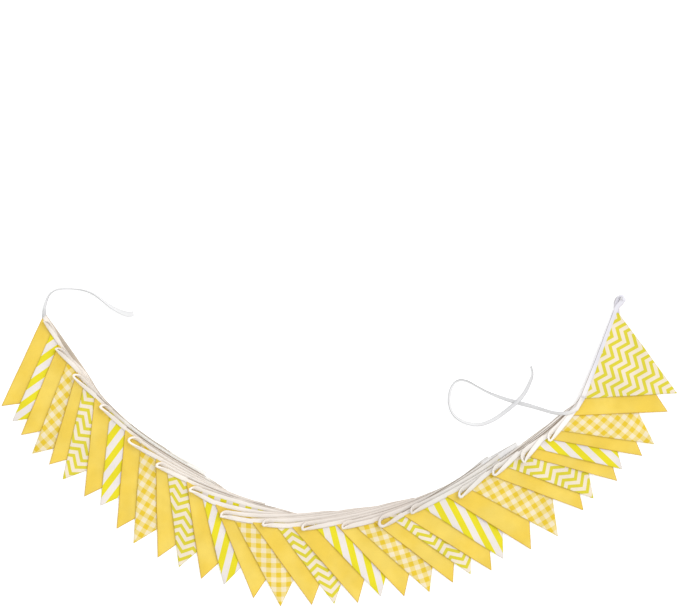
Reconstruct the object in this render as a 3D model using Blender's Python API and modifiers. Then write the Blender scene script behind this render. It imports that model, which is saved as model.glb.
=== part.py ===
"""Fabric bunting: thirty-six double cotton pennants sewn to one folded binding tape.

The bunting lies on a flat surface. Its tape is laid to and fro along an open arc, so that each
pennant lies over the one before it, like shingles. Units are metres, +Z is up, and the origin is
the middle of the bunting's footprint, on the surface. The arc opens towards +Y.

How the layers lie: every pennant has a number, and a layer lies on all the layers with lower
numbers. Heights come from one shared field, so two layers are never closer than one layer rise.
"""
import math
from collections import namedtuple

import bmesh
import bpy
from mathutils import Vector

MM = 0.001

# Pennants: width at the tape, cloth thickness and mesh fineness.
PENNANT_BASE = 175.0 * MM
PENNANT_THICKNESS = 1.0 * MM
PENNANT_CUTS = 6

# Binding tape, folded over the pennants' top edges and stitched.
TAPE_WIDTH = 10.0 * MM
TAPE_THICKNESS = 1.5 * MM
SEAM_GAP = 0.3 * MM
LAYER_RISE = TAPE_THICKNESS + 0.35 * MM

# Where the tape turns back between two pennants.
FLAT_FOLD_REACH = 23.0 * MM
LOOP_REACH = 22.0 * MM
LOOP_WIDTH = 9.0 * MM
LOOP_TWIST = 2.2
END_LOOP_START = 3.0 * MM
END_LOOP_OFFSET = 7.5 * MM
END_LOOP_REACH = 33.0 * MM
END_LOOP_WIDTH = 16.0 * MM
END_LOOP_BEARING = 78.0

# How the pile of layers settles.
COVER_FADE = 42.0 * MM
COVER_REACH = 374.0 * MM
PENNANTS_BENEATH = 8
FOLD_LAYERS = 1.6
BAND_FLAT = 40.0 * MM
BAND_FADE = 105.0 * MM
WAVE_HEIGHT = 1.2 * MM
WAVE_LENGTH_X = 150.0 * MM
WAVE_LENGTH_Y = 118.0 * MM

# Spacing of the tape's cross-sections.
HEADER_STEPS = PENNANT_CUTS + 1
RETURN_STEPS = 4
FOLD_STEPS = 4
LOOP_STEPS = 14
TIE_STEP = 8.0 * MM
LEAN_LIFT = 0.4 * MM

# One row for each pennant, left to right along the arc. The tip is in millimetres from the
# origin. The edge bearing is the direction from the tip to the left corner, and the header
# bearing the direction from the left corner to the right one, in degrees from +X towards +Y.
# The edge length is that of the left edge, and the header sag is how far the middle of the top
# edge bends out of the arc, both in millimetres.
PennantRow = namedtuple("PennantRow", "tip_x tip_y edge_bearing edge_length header_bearing header_sag")
PENNANT_ROWS = (
    PennantRow(-642.0, 85.5, 65.1, 184.2, -55.0, 3.0),
    PennantRow(-621.0, 57.0, 66.2, 183.8, -53.7, 4.2),
    PennantRow(-604.5, 30.5, 67.5, 185.2, -51.2, 5.1),
    PennantRow(-583.5, -5.0, 68.9, 189.0, -47.9, 4.8),
    PennantRow(-551.0, -25.5, 73.4, 182.5, -45.7, 5.7),
    PennantRow(-525.5, -54.0, 77.2, 186.5, -42.5, 5.8),
    PennantRow(-484.5, -86.5, 83.9, 188.4, -38.8, 4.3),
    PennantRow(-454.0, -104.0, 83.8, 178.8, -37.0, 4.8),
    PennantRow(-423.0, -147.5, 85.0, 187.6, -33.4, 3.6),
    PennantRow(-391.0, -175.5, 85.7, 190.2, -32.5, 4.0),
    PennantRow(-345.0, -202.5, 91.0, 187.2, -27.8, 4.4),
    PennantRow(-304.5, -220.5, 96.9, 187.7, -24.2, 4.8),
    PennantRow(-262.5, -243.0, 98.5, 186.1, -19.6, 4.9),
    PennantRow(-219.0, -254.0, 103.8, 181.4, -16.3, 7.9),
    PennantRow(-163.0, -279.5, 112.1, 191.2, -8.2, 7.3),
    PennantRow(-111.5, -295.0, 117.9, 195.5, -1.4, 5.7),
    PennantRow(-52.0, -292.5, 125.7, 192.1, 3.9, 3.7),
    PennantRow(-9.5, -290.5, 126.5, 191.5, 5.2, 4.7),
    PennantRow(35.5, -288.5, 130.9, 189.7, 9.8, 3.3),
    PennantRow(79.0, -276.5, 133.4, 187.2, 10.9, 4.5),
    PennantRow(123.5, -276.0, 133.5, 186.7, 15.3, 4.4),
    PennantRow(171.5, -268.0, 138.3, 194.5, 19.0, 4.9),
    PennantRow(216.0, -250.0, 142.4, 188.4, 24.4, 4.5),
    PennantRow(249.5, -234.0, 144.8, 188.9, 26.7, 5.2),
    PennantRow(289.5, -227.0, 148.0, 195.4, 31.7, 2.5),
    PennantRow(311.5, -205.0, 147.4, 185.8, 30.8, 4.1),
    PennantRow(364.5, -187.0, 147.9, 188.5, 34.1, 3.7),
    PennantRow(415.5, -162.0, 151.6, 193.0, 35.8, 3.1),
    PennantRow(464.0, -112.5, 159.3, 190.9, 37.4, 3.1),
    PennantRow(483.0, -90.0, 160.0, 183.4, 36.8, 3.6),
    PennantRow(528.0, -56.5, 164.9, 189.3, 41.1, 6.9),
    PennantRow(538.0, -34.5, 166.4, 176.6, 44.8, 9.7),
    PennantRow(575.5, -9.0, 169.8, 184.4, 51.4, 11.1),
    PennantRow(598.5, 13.0, 171.6, 186.1, 56.0, 10.7),
    PennantRow(624.0, 75.0, 182.3, 179.7, 62.6, 7.0),
    PennantRow(642.0, 110.0, 184.5, 172.6, 69.2, 1.0),
)

# Inner edge of the tape band, in millimetres, from the left end of the arc to the right end.
BandRow = namedtuple("BandRow", "x y")
BAND_ROWS = (
    BandRow(-556.0, 256.0), BandRow(-508.0, 185.0), BandRow(-438.0, 93.0), BandRow(-371.0, 33.0),
    BandRow(-303.0, -11.0), BandRow(-221.0, -74.0), BandRow(-150.0, -99.0), BandRow(-48.0, -117.0),
    BandRow(77.0, -107.0), BandRow(176.0, -79.0), BandRow(281.0, -15.0), BandRow(381.0, 39.0),
    BandRow(413.0, 65.0), BandRow(453.0, 91.0), BandRow(469.0, 128.0), BandRow(488.0, 176.0),
    BandRow(507.0, 226.0), BandRow(523.0, 277.0),
)

# Routes of the two free ends. Height is that of the tape's lower edge, and lean is how far the
# tape stands up on that edge, 0 lying flat and 90 upright.
TieRow = namedtuple("TieRow", "x y height lean")
TIE_LEFT_ROWS = (
    TieRow(-390.5, 261.0, 0.0, 0.0), TieRow(-403.0, 260.5, 0.0, 0.0), TieRow(-416.0, 265.0, 0.0, 20.0),
    TieRow(-433.0, 274.0, 0.0, 45.0), TieRow(-449.5, 286.5, 0.0, 55.0), TieRow(-466.0, 298.5, 0.0, 58.0),
    TieRow(-486.0, 306.0, 0.0, 60.0), TieRow(-511.0, 309.0, 0.0, 62.0), TieRow(-533.0, 308.0, 0.0, 64.0),
    TieRow(-547.0, 301.0, 0.0, 66.0), TieRow(-554.5, 289.5, 0.0, 58.0), TieRow(-560.0, 272.0, 0.0, 30.0),
)
TIE_RIGHT_ROWS = (
    TieRow(448.0, 82.0, 15.6, 12.0), TieRow(434.0, 74.5, 16.4, 25.0), TieRow(419.0, 72.5, 14.6, 30.0),
    TieRow(403.0, 73.5, 11.0, 30.0), TieRow(386.0, 78.0, 4.8, 20.0), TieRow(363.0, 84.5, 0.4, 8.0),
    TieRow(336.5, 93.0, 0.0, 6.0), TieRow(310.0, 101.0, 0.0, 12.0), TieRow(282.0, 112.0, 0.0, 30.0),
    TieRow(260.0, 124.0, 0.0, 45.0), TieRow(243.0, 133.0, 0.0, 60.0), TieRow(228.0, 135.0, 0.0, 70.0),
    TieRow(216.5, 127.0, 0.0, 70.0), TieRow(210.0, 110.0, 0.0, 62.0), TieRow(209.5, 88.0, 0.0, 55.0),
    TieRow(217.5, 69.0, 0.0, 50.0), TieRow(237.0, 55.5, 0.0, 48.0), TieRow(264.0, 50.5, 0.0, 42.0),
    TieRow(288.0, 57.5, 0.0, 30.0), TieRow(311.0, 72.0, 1.6, 14.0), TieRow(336.5, 93.0, 3.6, 4.0),
    TieRow(352.0, 111.0, 2.2, 8.0), TieRow(362.5, 132.0, 0.2, 24.0), TieRow(367.0, 147.0, 0.0, 34.0),
    TieRow(364.0, 161.5, 0.0, 12.0),
)

MUSTARD = (0.93, 0.60, 0.09, 1.0)
LEMON = (0.95, 0.78, 0.03, 1.0)
GINGHAM_YELLOW = (0.94, 0.70, 0.22, 1.0)
CHEVRON_YELLOW = (0.80, 0.72, 0.10, 1.0)
TAPE_CREAM = (0.84, 0.82, 0.77, 1.0)


def smooth_step(value):
    """Ease from 0 to 1, flat at both ends."""
    value = min(1.0, max(0.0, value))
    return value * value * (3.0 - 2.0 * value)


def heading(degrees):
    """Unit vector on the surface at a bearing from +X."""
    return Vector((math.cos(math.radians(degrees)), math.sin(math.radians(degrees))))


def left_of(direction):
    """The direction a quarter turn to the left."""
    return Vector((-direction.y, direction.x))


def spline(points, steps):
    """Catmull-Rom curve through 2D, 3D or 4D points, with so many steps for each span."""
    first = points[0] * 2 - points[1]
    last = points[-1] * 2 - points[-2]
    padded = [first, *points, last]
    curve = []
    for index in range(1, len(padded) - 2):
        before, start, end, after = padded[index - 1:index + 3]
        for step in range(steps):
            t = step / steps
            curve.append((start * 2 + (end - before) * t
                          + (before * 2 - start * 5 + end * 4 - after) * t * t
                          + (start * 3 - before - end * 3 + after) * t ** 3) * 0.5)
    curve.append(points[-1].copy())
    return curve


class Pennant:
    """The three corners of one pennant on the surface, and the directions of its edges."""

    def __init__(self, row):
        self.tip = Vector((row.tip_x, row.tip_y)) * MM
        self.along = heading(row.header_bearing)
        self.inward = left_of(self.along)
        self.left = self.tip + heading(row.edge_bearing) * (row.edge_length * MM)
        self.right = self.left + self.along * PENNANT_BASE
        self.height = (self.left - self.tip).dot(self.inward)
        self.sag = row.header_sag * MM
        right_edge = (self.tip - self.right).normalized()
        self.beyond = left_of(right_edge)

    def past_right_edge(self, point):
        """Distance of a point beyond the line of the right edge, negative on the cloth's side."""
        return (point - self.right).dot(self.beyond)

    def cover(self, point):
        """1 on this pennant, fading to 0 beyond its right edge, and 0 far along the arc."""
        if (point - self.right).length > COVER_REACH:
            return 0.0
        return 1.0 - min(1.0, max(0.0, self.past_right_edge(point) / COVER_FADE))

    def header_point(self, share):
        """Point of the sagging top edge, by its share of the way from the left corner."""
        return self.left.lerp(self.right, share) - self.inward * (4 * self.sag * share * (1 - share))

    def header_direction(self, share):
        """Direction of the sagging top edge towards the right corner."""
        slope = 4 * self.sag * (1 - 2 * share) / PENNANT_BASE
        return (self.along - self.inward * slope).normalized()

    def hung(self, point):
        """A point of the straight triangle, moved with the sag of its top edge."""
        below = (self.left - point).dot(self.inward) / self.height
        if below > 0.999:
            return point
        share = ((point - self.tip * below) / (1 - below) - self.left).dot(self.along) / PENNANT_BASE
        return point - self.inward * (4 * self.sag * share * (1 - share) * (1 - below))


PENNANTS = [Pennant(row) for row in PENNANT_ROWS]
BAND = spline([Vector((row.x, row.y)) * MM for row in BAND_ROWS], 4)


def nearest_on_band(point):
    """Distance of a point from the inner edge of the tape band, and that edge's direction there."""
    nearest, direction = math.inf, None
    for start, end in zip(BAND[:-1], BAND[1:]):
        span = end - start
        share = min(1.0, max(0.0, (point - start).dot(span) / span.length_squared))
        away = (point - start - span * share).length
        if away < nearest:
            nearest, direction = away, span.normalized()
    return nearest, direction


def settled(point):
    """Height that every layer shares at a point: the flat folds in the band, and soft waves."""
    away, _ = nearest_on_band(point)
    band = 1.0 - smooth_step((away - BAND_FLAT) / (BAND_FADE - BAND_FLAT))
    after_first = (1.0 - PENNANTS[0].cover(point)) + (1.0 - PENNANTS[1].cover(point))
    folds = LAYER_RISE * min(FOLD_LAYERS, after_first) * band
    wave = (math.sin(point.x / WAVE_LENGTH_X * math.tau) + math.sin(point.y / WAVE_LENGTH_Y * math.tau))
    ripple = WAVE_HEIGHT * 0.25 * (2.0 + wave) * (1.0 - band) * (1.0 - PENNANTS[0].cover(point))
    return folds + ripple


def layer_height(number, point):
    """Height of the underside of layer number (from 0) at a point on the surface."""
    beneath = PENNANTS[max(0, number - PENNANTS_BENEATH):number]
    return LAYER_RISE * sum(pennant.cover(point) for pennant in beneath) + settled(point)


def solid_of(name, mesh, thickness, offset, colour, roughness, collection):
    """An open sheet given its thickness and its cloth."""
    piece = bpy.data.objects.new(name, mesh)
    collection.objects.link(piece)
    thicken = piece.modifiers.new("Cloth thickness", "SOLIDIFY")
    thicken.thickness = thickness
    thicken.offset = offset
    cloth = bpy.data.materials.new(name + "_cloth")
    cloth.use_nodes = True
    shader = cloth.node_tree.nodes["Principled BSDF"]
    shader.inputs["Base Color"].default_value = colour
    shader.inputs["Roughness"].default_value = roughness
    shader.inputs["Metallic"].default_value = 0.0
    cloth.diffuse_color = colour
    mesh.materials.append(cloth)
    mesh.shade_smooth()
    mesh.set_sharp_from_angle(angle=math.radians(40))
    return piece


def pennant_cloth(number):
    """Which of the four prints a pennant has: every second one is plain."""
    if number % 2 == 0:
        return "plain", MUSTARD
    return (("stripe", LEMON), ("gingham", GINGHAM_YELLOW), ("chevron", CHEVRON_YELLOW))[number // 2 % 3]


def make_pennant(number, collection):
    """One pennant: a triangle of cloth that follows the layers beneath it."""
    pennant = PENNANTS[number]
    seam = pennant.inward * -SEAM_GAP
    bm = bmesh.new()
    corners = [bm.verts.new((corner.x, corner.y, 0.0))
               for corner in (pennant.tip, pennant.right + seam, pennant.left + seam)]
    bm.faces.new(corners)
    bmesh.ops.subdivide_edges(bm, edges=bm.edges[:], cuts=PENNANT_CUTS, use_grid_fill=True)
    bmesh.ops.triangulate(bm, faces=bm.faces[:])
    for vert in bm.verts:
        point = pennant.hung(vert.co.xy)
        vert.co = (point.x, point.y, layer_height(number, point))
    bmesh.ops.recalc_face_normals(bm, faces=bm.faces[:])
    if sum(face.normal.z for face in bm.faces) < 0:
        bmesh.ops.reverse_faces(bm, faces=bm.faces[:])
    cloth_name, colour = pennant_cloth(number)
    name = f"pennant_{number + 1:02d}_{cloth_name}"
    mesh = bpy.data.meshes.new(name)
    bm.to_mesh(mesh)
    bm.free()
    return solid_of(name, mesh, PENNANT_THICKNESS, 1.0, colour, 0.9, collection)


class Section:
    """One cross-section of the tape: its pennant-side edge, its free edge and their heights."""

    def __init__(self, edge, across, lean, edge_height, free_height):
        rise = TAPE_WIDTH * math.sin(lean)
        free = edge + across * (TAPE_WIDTH * math.cos(lean))
        self.edge = Vector((edge.x, edge.y, edge_height))
        self.free = Vector((free.x, free.y, free_height + rise))


def lying_section(number, edge, across, drop=0.0):
    """A section lying flat on the layers beneath it."""
    free = edge + across * TAPE_WIDTH
    lift = TAPE_THICKNESS / 2 - drop
    return Section(edge, across, 0.0, layer_height(number, edge) + lift, layer_height(number, free) + lift)


def header_sections(number):
    """The tape along the top edge of one pennant, from its left corner to its right one."""
    pennant = PENNANTS[number]
    shares = [step / HEADER_STEPS for step in range(HEADER_STEPS + 1)]
    return [lying_section(number, pennant.header_point(share), left_of(pennant.header_direction(share)))
            for share in shares]


def bezier(start, start_pull, end_pull, end, t):
    """Point of a cubic curve."""
    s = 1.0 - t
    return start * s ** 3 + start_pull * 3 * s * s * t + end_pull * 3 * s * t * t + end * t ** 3


def strand(number, start, out, end, arrive, drop, steps):
    """Tape lying along a curve from one point and direction to another, without its first point."""
    pull = (end - start).length / 3
    sections = []
    for step in range(1, steps + 1):
        t = step / steps
        edge = bezier(start, start + out * pull, end - arrive * pull, end, t)
        across = left_of(out.lerp(arrive, t)).normalized()
        sections.append(lying_section(number, edge, across, drop))
    return sections


def flat_fold_sections(number):
    """Tape from the right corner of one pennant to a flat fold and back to the next one."""
    here, after = PENNANTS[number], PENNANTS[number + 1]
    _, onward = nearest_on_band(after.right)
    fold = after.right + onward * FLAT_FOLD_REACH
    sections = strand(number + 2, here.right, here.header_direction(1.0), fold, onward, 2 * LAYER_RISE,
                      RETURN_STEPS)
    radius = LAYER_RISE / 2
    for step in range(1, FOLD_STEPS):
        angle = math.pi * step / FOLD_STEPS
        edge = fold + onward * (radius * math.sin(angle))
        drop = LAYER_RISE + radius * (1.0 + math.cos(angle))
        sections.append(lying_section(number + 2, edge, left_of(onward), drop))
    back = strand(number + 2, after.right, after.header_direction(1.0), fold, onward, LAYER_RISE, 2)
    return sections + back[::-1]


class Loop:
    """Tape standing on its edge as it turns back, from one point of the string to another."""

    def __init__(self, start, out, end, back, turn, reach, width):
        outward = left_of(out) * turn
        upper = start + out * (reach * 0.6)
        tip = start + out * reach + outward * (width * 0.5)
        lower = start + out * (reach * 0.7) + outward * width
        approach = end - back * (reach * 0.3)
        gather = lower.lerp(approach, 0.5) + outward * (width * 0.1)
        self.turn = turn
        self.route = spline([start, upper, tip, lower, gather, approach, end], 6)
        self.lengths = [0.0]
        for first, second in zip(self.route[:-1], self.route[1:]):
            self.lengths.append(self.lengths[-1] + (second - first).length)
        self.tip_share = self.lengths[12] / self.lengths[-1]

    def sections(self, height_before, height_after):
        """Cross-sections, whose underside climbs from one height field to the other."""
        found = []
        for step in range(1, LOOP_STEPS):
            share = step / LOOP_STEPS
            edge, travel = point_along(self.route, self.lengths, share * self.lengths[-1])
            if share < self.tip_share:
                lean = math.pi / 2 * (share / self.tip_share) ** LOOP_TWIST
            else:
                lean = math.pi - math.pi / 2 * ((1.0 - share) / (1.0 - self.tip_share)) ** LOOP_TWIST
            side = left_of(travel) * -self.turn
            climb = smooth_step(2.0 * share / self.tip_share - 1.0)
            free = edge + side * (TAPE_WIDTH * math.cos(lean))
            heights = [height_before(point) * (1.0 - climb) + height_after(point) * climb
                       + TAPE_THICKNESS / 2 for point in (edge, free)]
            found.append(Section(edge, side, lean, *heights))
        return found


def left_loop_sections(number):
    """The standing loop between the left corners of two pennants."""
    here, after = PENNANTS[number], PENNANTS[number + 1]
    loop = Loop(here.left, -here.header_direction(0.0), after.left, after.header_direction(0.0), 1.0,
                LOOP_REACH, LOOP_WIDTH)
    return loop.sections(lambda point: layer_height(number, point),
                         lambda point: layer_height(number + 1, point))


def end_loop_sections(number):
    """The standing loop past the right corners of the last two pennants."""
    here, after = PENNANTS[number], PENNANTS[number + 1]
    out = heading(END_LOOP_BEARING)
    start = after.right + out * END_LOOP_START + left_of(out) * END_LOOP_OFFSET
    sections = strand(number + 2, here.right, here.header_direction(1.0), start, out, 2 * LAYER_RISE,
                      RETURN_STEPS)
    loop = Loop(start, out, after.right, -after.header_direction(1.0), -1.0, END_LOOP_REACH, END_LOOP_WIDTH)
    return sections + loop.sections(
        lambda point: max(0.0, layer_height(number + 2, point) - 2 * LAYER_RISE),
        lambda point: max(0.0, layer_height(number + 2, point) - LAYER_RISE))


def point_along(route, lengths, distance):
    """Point and direction at a distance along a route."""
    for index in range(len(route) - 1):
        if distance <= lengths[index + 1] or index == len(route) - 2:
            span = lengths[index + 1] - lengths[index]
            share = (distance - lengths[index]) / span
            before = route[max(0, index - 1)]
            after = route[min(len(route) - 1, index + 2)]
            return route[index].lerp(route[index + 1], share), (after - before).normalized()
    return route[-1], (route[-1] - route[-2]).normalized()


def tape_sections():
    """Every section of the tape, from the first pennant's left corner to the last one's."""
    sections = []
    last = len(PENNANTS) - 1
    for number in range(len(PENNANTS)):
        header = header_sections(number)
        leftwards = number % 2 == 1
        sections += header[::-1] if leftwards else header
        if number == last:
            break
        if leftwards:
            sections += left_loop_sections(number)
        elif number == last - 1:
            sections += end_loop_sections(number)
        else:
            sections += flat_fold_sections(number)
    return sections


def ribbon_mesh(name, sections):
    """An open ribbon through the sections."""
    bm = bmesh.new()
    rows = [(bm.verts.new(section.edge), bm.verts.new(section.free)) for section in sections]
    for row, following in zip(rows[:-1], rows[1:]):
        bm.faces.new((*row, *following[::-1]))
    bmesh.ops.recalc_face_normals(bm, faces=bm.faces[:])
    mesh = bpy.data.meshes.new(name)
    bm.to_mesh(mesh)
    bm.free()
    return mesh


def tie_sections(rows, turn):
    """Sections of a free end: the tape leans to the side given by turn, 1 left or -1 right."""
    points = [Vector((row.x * MM, row.y * MM, row.height * MM, math.radians(row.lean))) for row in rows]
    curve = spline(points, 6)
    lengths = [0.0]
    for first, second in zip(curve[:-1], curve[1:]):
        lengths.append(lengths[-1] + (second.xy - first.xy).length)
    count = round(lengths[-1] / TIE_STEP)
    sections = []
    for step in range(count + 1):
        sample, travel = point_along(curve, lengths, lengths[-1] * step / count)
        middle = Vector((sample.x, sample.y))
        side = left_of(Vector((travel.x, travel.y)).normalized()) * turn
        lean = max(0.0, sample.w)
        half = side * (TAPE_WIDTH * 0.5 * math.cos(lean))
        height = max(0.0, sample.z) + TAPE_THICKNESS / 2 + LEAN_LIFT * math.sin(lean)
        sections.append(Section(middle - half, side, lean, height, height))
    return sections


def tie_left_sections():
    """The left tie, which ends against the tape at the first pennant's left corner."""
    sections = tie_sections(TIE_LEFT_ROWS, 1.0)
    corner = PENNANTS[0]
    joint = corner.left - corner.along * SEAM_GAP
    return sections + [lying_section(0, joint, corner.inward)]


def tie_right_sections():
    """The right tie, which starts against the tape at the last pennant's left corner."""
    last = len(PENNANTS) - 1
    corner = PENNANTS[last]
    joint = corner.left - corner.along * SEAM_GAP
    return [lying_section(last, joint, corner.inward)] + tie_sections(TIE_RIGHT_ROWS, -1.0)


def clear_scene():
    """Remove whatever the scene holds."""
    for item in list(bpy.data.objects):
        bpy.data.objects.remove(item, do_unlink=True)


def main():
    """Build the bunting."""
    clear_scene()
    bunting = bpy.data.collections.new("fabric_bunting")
    bpy.context.scene.collection.children.link(bunting)
    for number in range(len(PENNANTS)):
        make_pennant(number, bunting)
    tapes = (("binding_tape", tape_sections()), ("tie_left", tie_left_sections()),
             ("tie_right", tie_right_sections()))
    for name, sections in tapes:
        solid_of(name, ribbon_mesh(name, sections), TAPE_THICKNESS, 0.0, TAPE_CREAM, 0.85, bunting)


main()
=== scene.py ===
"""Fabric bunting: thirty-six double cotton pennants sewn into one folded binding tape.

The bunting lies on a pale floor. The tape is laid to and fro along an open arc, so that each pennant
lies over the one before it, like shingles. Lengths are in metres and +Z is up. The pile of layers is
one shared height field, so no two layers of cloth meet. The binding tape is a strip folded in half
along its length, with its fold on the inner side of the arc and its two cut edges, closed by a line
of stitches, on the pennants' side.
"""
import logging
import math
from dataclasses import dataclass, field
from enum import Enum
from typing import Callable, NamedTuple, TypeVar

import bmesh
import bpy
from mathutils import Matrix, Vector, noise


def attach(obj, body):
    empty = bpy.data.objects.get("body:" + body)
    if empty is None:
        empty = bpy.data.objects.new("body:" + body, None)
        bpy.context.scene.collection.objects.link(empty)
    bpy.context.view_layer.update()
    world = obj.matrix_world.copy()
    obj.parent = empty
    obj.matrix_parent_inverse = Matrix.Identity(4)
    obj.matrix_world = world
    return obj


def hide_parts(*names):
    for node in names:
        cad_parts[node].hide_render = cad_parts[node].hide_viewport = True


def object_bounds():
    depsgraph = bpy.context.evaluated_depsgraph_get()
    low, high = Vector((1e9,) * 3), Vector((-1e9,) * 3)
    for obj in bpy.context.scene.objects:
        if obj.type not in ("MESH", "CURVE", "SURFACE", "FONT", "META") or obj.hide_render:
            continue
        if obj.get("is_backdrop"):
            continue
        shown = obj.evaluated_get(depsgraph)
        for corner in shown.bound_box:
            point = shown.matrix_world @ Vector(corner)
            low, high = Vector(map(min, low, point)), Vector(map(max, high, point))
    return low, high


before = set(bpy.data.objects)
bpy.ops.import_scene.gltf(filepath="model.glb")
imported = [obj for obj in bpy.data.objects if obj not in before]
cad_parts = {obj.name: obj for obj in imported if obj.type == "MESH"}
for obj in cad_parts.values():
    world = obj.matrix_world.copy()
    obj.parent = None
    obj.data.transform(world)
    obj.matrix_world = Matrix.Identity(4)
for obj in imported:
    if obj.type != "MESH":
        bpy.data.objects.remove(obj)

MM = 0.001
ROOT = "root"
Colour = tuple[float, float, float]
Socket = bpy.types.NodeSocket
Row = TypeVar("Row")
log = logging.getLogger("bunting")


class PennantRow(NamedTuple):
    """Where one pennant lies: its tip, left edge's length and header's sag, in millimetres.

    The bearings of the left edge and of the header are in degrees from +X.
    """

    tip_x: float
    tip_y: float
    edge_bearing: float
    edge_length: float
    header_bearing: float
    header_sag: float


class PrintRow(NamedTuple):
    """How the cloth was turned under the cutting line: the print's angle in degrees and its shift in mm."""

    number: int
    turn: float
    shift_along: float
    shift_down: float


class PathRow(NamedTuple):
    """A point of the band's inner edge, in millimetres."""

    x: float
    y: float


class TiltRow(NamedTuple):
    """How far the tape stands up off the band, in degrees, at a place along X in millimetres."""

    x: float
    degrees: float


class LoopRow(NamedTuple):
    """A turn-back at the left: the lower pennant's number, and its reach, width and roll in mm.

    The higher its twist, the later the tape rises onto its edge. It bends down by some degrees.
    """

    number: int
    reach: float
    width: float
    roll: float
    twist: float
    bend: float = 0.0


class ToneRow(NamedTuple):
    """The tape's colour at a place along X in millimetres."""

    x: float
    colour: Colour


class Stretch(NamedTuple):
    """Places along X in millimetres: where something begins, is whole, stops being whole, and ends."""

    start: float
    full: float
    until: float
    end: float


class FoldRow(NamedTuple):
    """A turn-back at the right that sticks out: the lower pennant's number, its reach and offset in mm."""

    number: int
    reach: float
    aside: float


class SlitShadowRow(NamedTuple):
    """A header with a painted slit shadow beside its fold: the pennant's number and the shadow's darkness.
    """

    number: int
    shade: float


class LeafRow(NamedTuple):
    """A point of a leaf: its distance from the sewn edge in millimetres, and its shares of gap and roll."""

    reach: float
    gap: float
    roll: float


class TieRow(NamedTuple):
    """A point of a free end: place and height in millimetres, and how far the tape stands up in degrees."""

    x: float
    y: float
    height: float
    lean: float


def rows(kind: Callable[..., Row], *values: tuple) -> tuple[Row, ...]:
    """Make the rows of a table, each from its values."""
    return tuple(kind(*row) for row in values)


PENNANT_ROWS = rows(
    PennantRow,
    (-642, 85.5, 65.1, 184.2, -55, -0.8), (-621, 57, 66.2, 183.8, -53.7, 4.2),
    (-604.5, 30.5, 67.5, 185.2, -51.2, 5.1), (-583.5, -5, 68.9, 189, -47.9, 4.8),
    (-551, -25.5, 73.4, 182.5, -45.2, 5.7), (-525.5, -54, 77.2, 186.5, -41.8, 5.8),
    (-484.5, -86.5, 83.9, 188.4, -38.1, 4.3), (-454, -104, 83.8, 178.8, -36.3, 4.8),
    (-423, -147.5, 85, 187.6, -32.5, 3.6), (-391, -175.5, 85.7, 190.2, -31.2, 4),
    (-345, -202.5, 91, 187.2, -26.5, 4.4), (-304.5, -220.5, 96.9, 187.7, -22.9, 4.8),
    (-262.5, -243, 98.5, 186.1, -18.9, 4.9), (-219, -254, 103.8, 181.4, -15.9, 2.5),
    (-163, -279.5, 112.1, 191.2, -8.2, 7.3), (-111.5, -295, 117.9, 195.5, -0.2, 5.7),
    (-52, -292.5, 125.7, 192.1, 5.2, 3.7), (-9.5, -290.5, 126.5, 191.5, 6.5, 4.7),
    (35.5, -288.5, 130.9, 189.7, 11.3, 3.3), (79, -276.5, 133.4, 187.2, 12.4, 4.5),
    (123.5, -276, 133.5, 186.7, 16.1, 4.4), (171.5, -268, 138.3, 194.5, 19, 4.9),
    (216, -250, 142.4, 188.4, 24.4, 4.5), (249.5, -234, 144.8, 188.9, 26.7, 5.2),
    (289.5, -227, 148, 195.4, 31.7, 2.5), (311.5, -205, 147.4, 185.8, 30.8, 4.1),
    (364.5, -187, 147.9, 188.5, 32.2, 3.7), (415.5, -162, 151.6, 193, 35.8, 3.1),
    (464, -112.5, 159.3, 190.9, 37.4, 3.1), (483, -90, 160, 183.4, 36.8, 3.6),
    (528, -56.5, 164.9, 189.3, 41.1, 6.9), (538, -34.5, 166.4, 176.6, 44.8, 9.7),
    (575.5, -9, 169.8, 184.4, 51.4, 11.1), (598.5, 13, 171.6, 186.1, 56, 10.7),
    (624, 75, 182.3, 179.7, 62.6, 7), (642, 110, 183, 175.2, 69.2, 0),
)
PRINT_ROWS = rows(
    PrintRow,
    (2, -1, 19.6, 0), (4, -0.5, 12, 4.8), (6, 1, 31.2, 7.7), (8, -0.5, 22.4, 0), (10, 0.5, 8.1, 12.8),
    (12, 4, 9.8, 2.3), (14, 1.5, 5.4, 0), (16, 0.5, 9.5, 12), (18, 4, 4.5, 2), (20, 1.5, 15.9, 0),
    (22, 0, 17.5, 16.6), (24, 0, 34.8, 1.7), (26, -3, 21.5, 0), (28, -3.5, 9, 4.3), (30, 6.5, 4.5, 15.7),
    (32, 1.5, 19, 0), (34, -4, 9.3, 8.6), (36, -2, 30.8, 12.3),
)
BAND_ROWS = rows(
    PathRow,
    (-556, 256), (-508, 185), (-438, 93), (-371, 33), (-303, -11), (-221, -74), (-150, -99), (-48, -117),
    (77, -107), (176, -79), (281, -15), (381, 39), (413, 65), (453, 91), (469, 128), (488, 176),
    (507, 226), (523, 277),
)
TILT_ROWS = rows(
    TiltRow,
    (-560, 30), (-430, 32), (-300, 24), (-150, 20), (100, 16), (240, 20), (320, 12), (370, 3), (474, 3),
    (500, 6), (540, 6),
)
LOOP_ROWS = rows(
    LoopRow,
    (2, 26, 2.6, 2.2, 5), (4, 33, 3.6, 2.6, 4, 6), (6, 25.5, 8, 4.2, 2.2), (8, 21.5, 6.5, 5.2, 2.8),
    (10, 23, 11.5, 4.4, 1.8), (12, 21, 6, 5.6, 4), (14, 22, 6, 5, 3), (16, 21, 6.4, 6, 5),
    (18, 21, 6.4, 6, 5), (20, 21, 7.6, 5.6, 3), (22, 21, 5.6, 5, 5), (24, 22, 14, 6.4, 1.6),
    (26, 21, 6, 5.4, 4), (28, 23, 8, 5.6, 2.6), (30, 24, 9.5, 5.2, 2.4), (32, 31, 4.6, 4, 3, 26),
    (34, 25, 7.5, 4.2, 2.4),
)
FOLD_ROWS = rows(FoldRow, (7, 38.5, 7), (23, 44, 4), (25, 41, 3.2))
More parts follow.
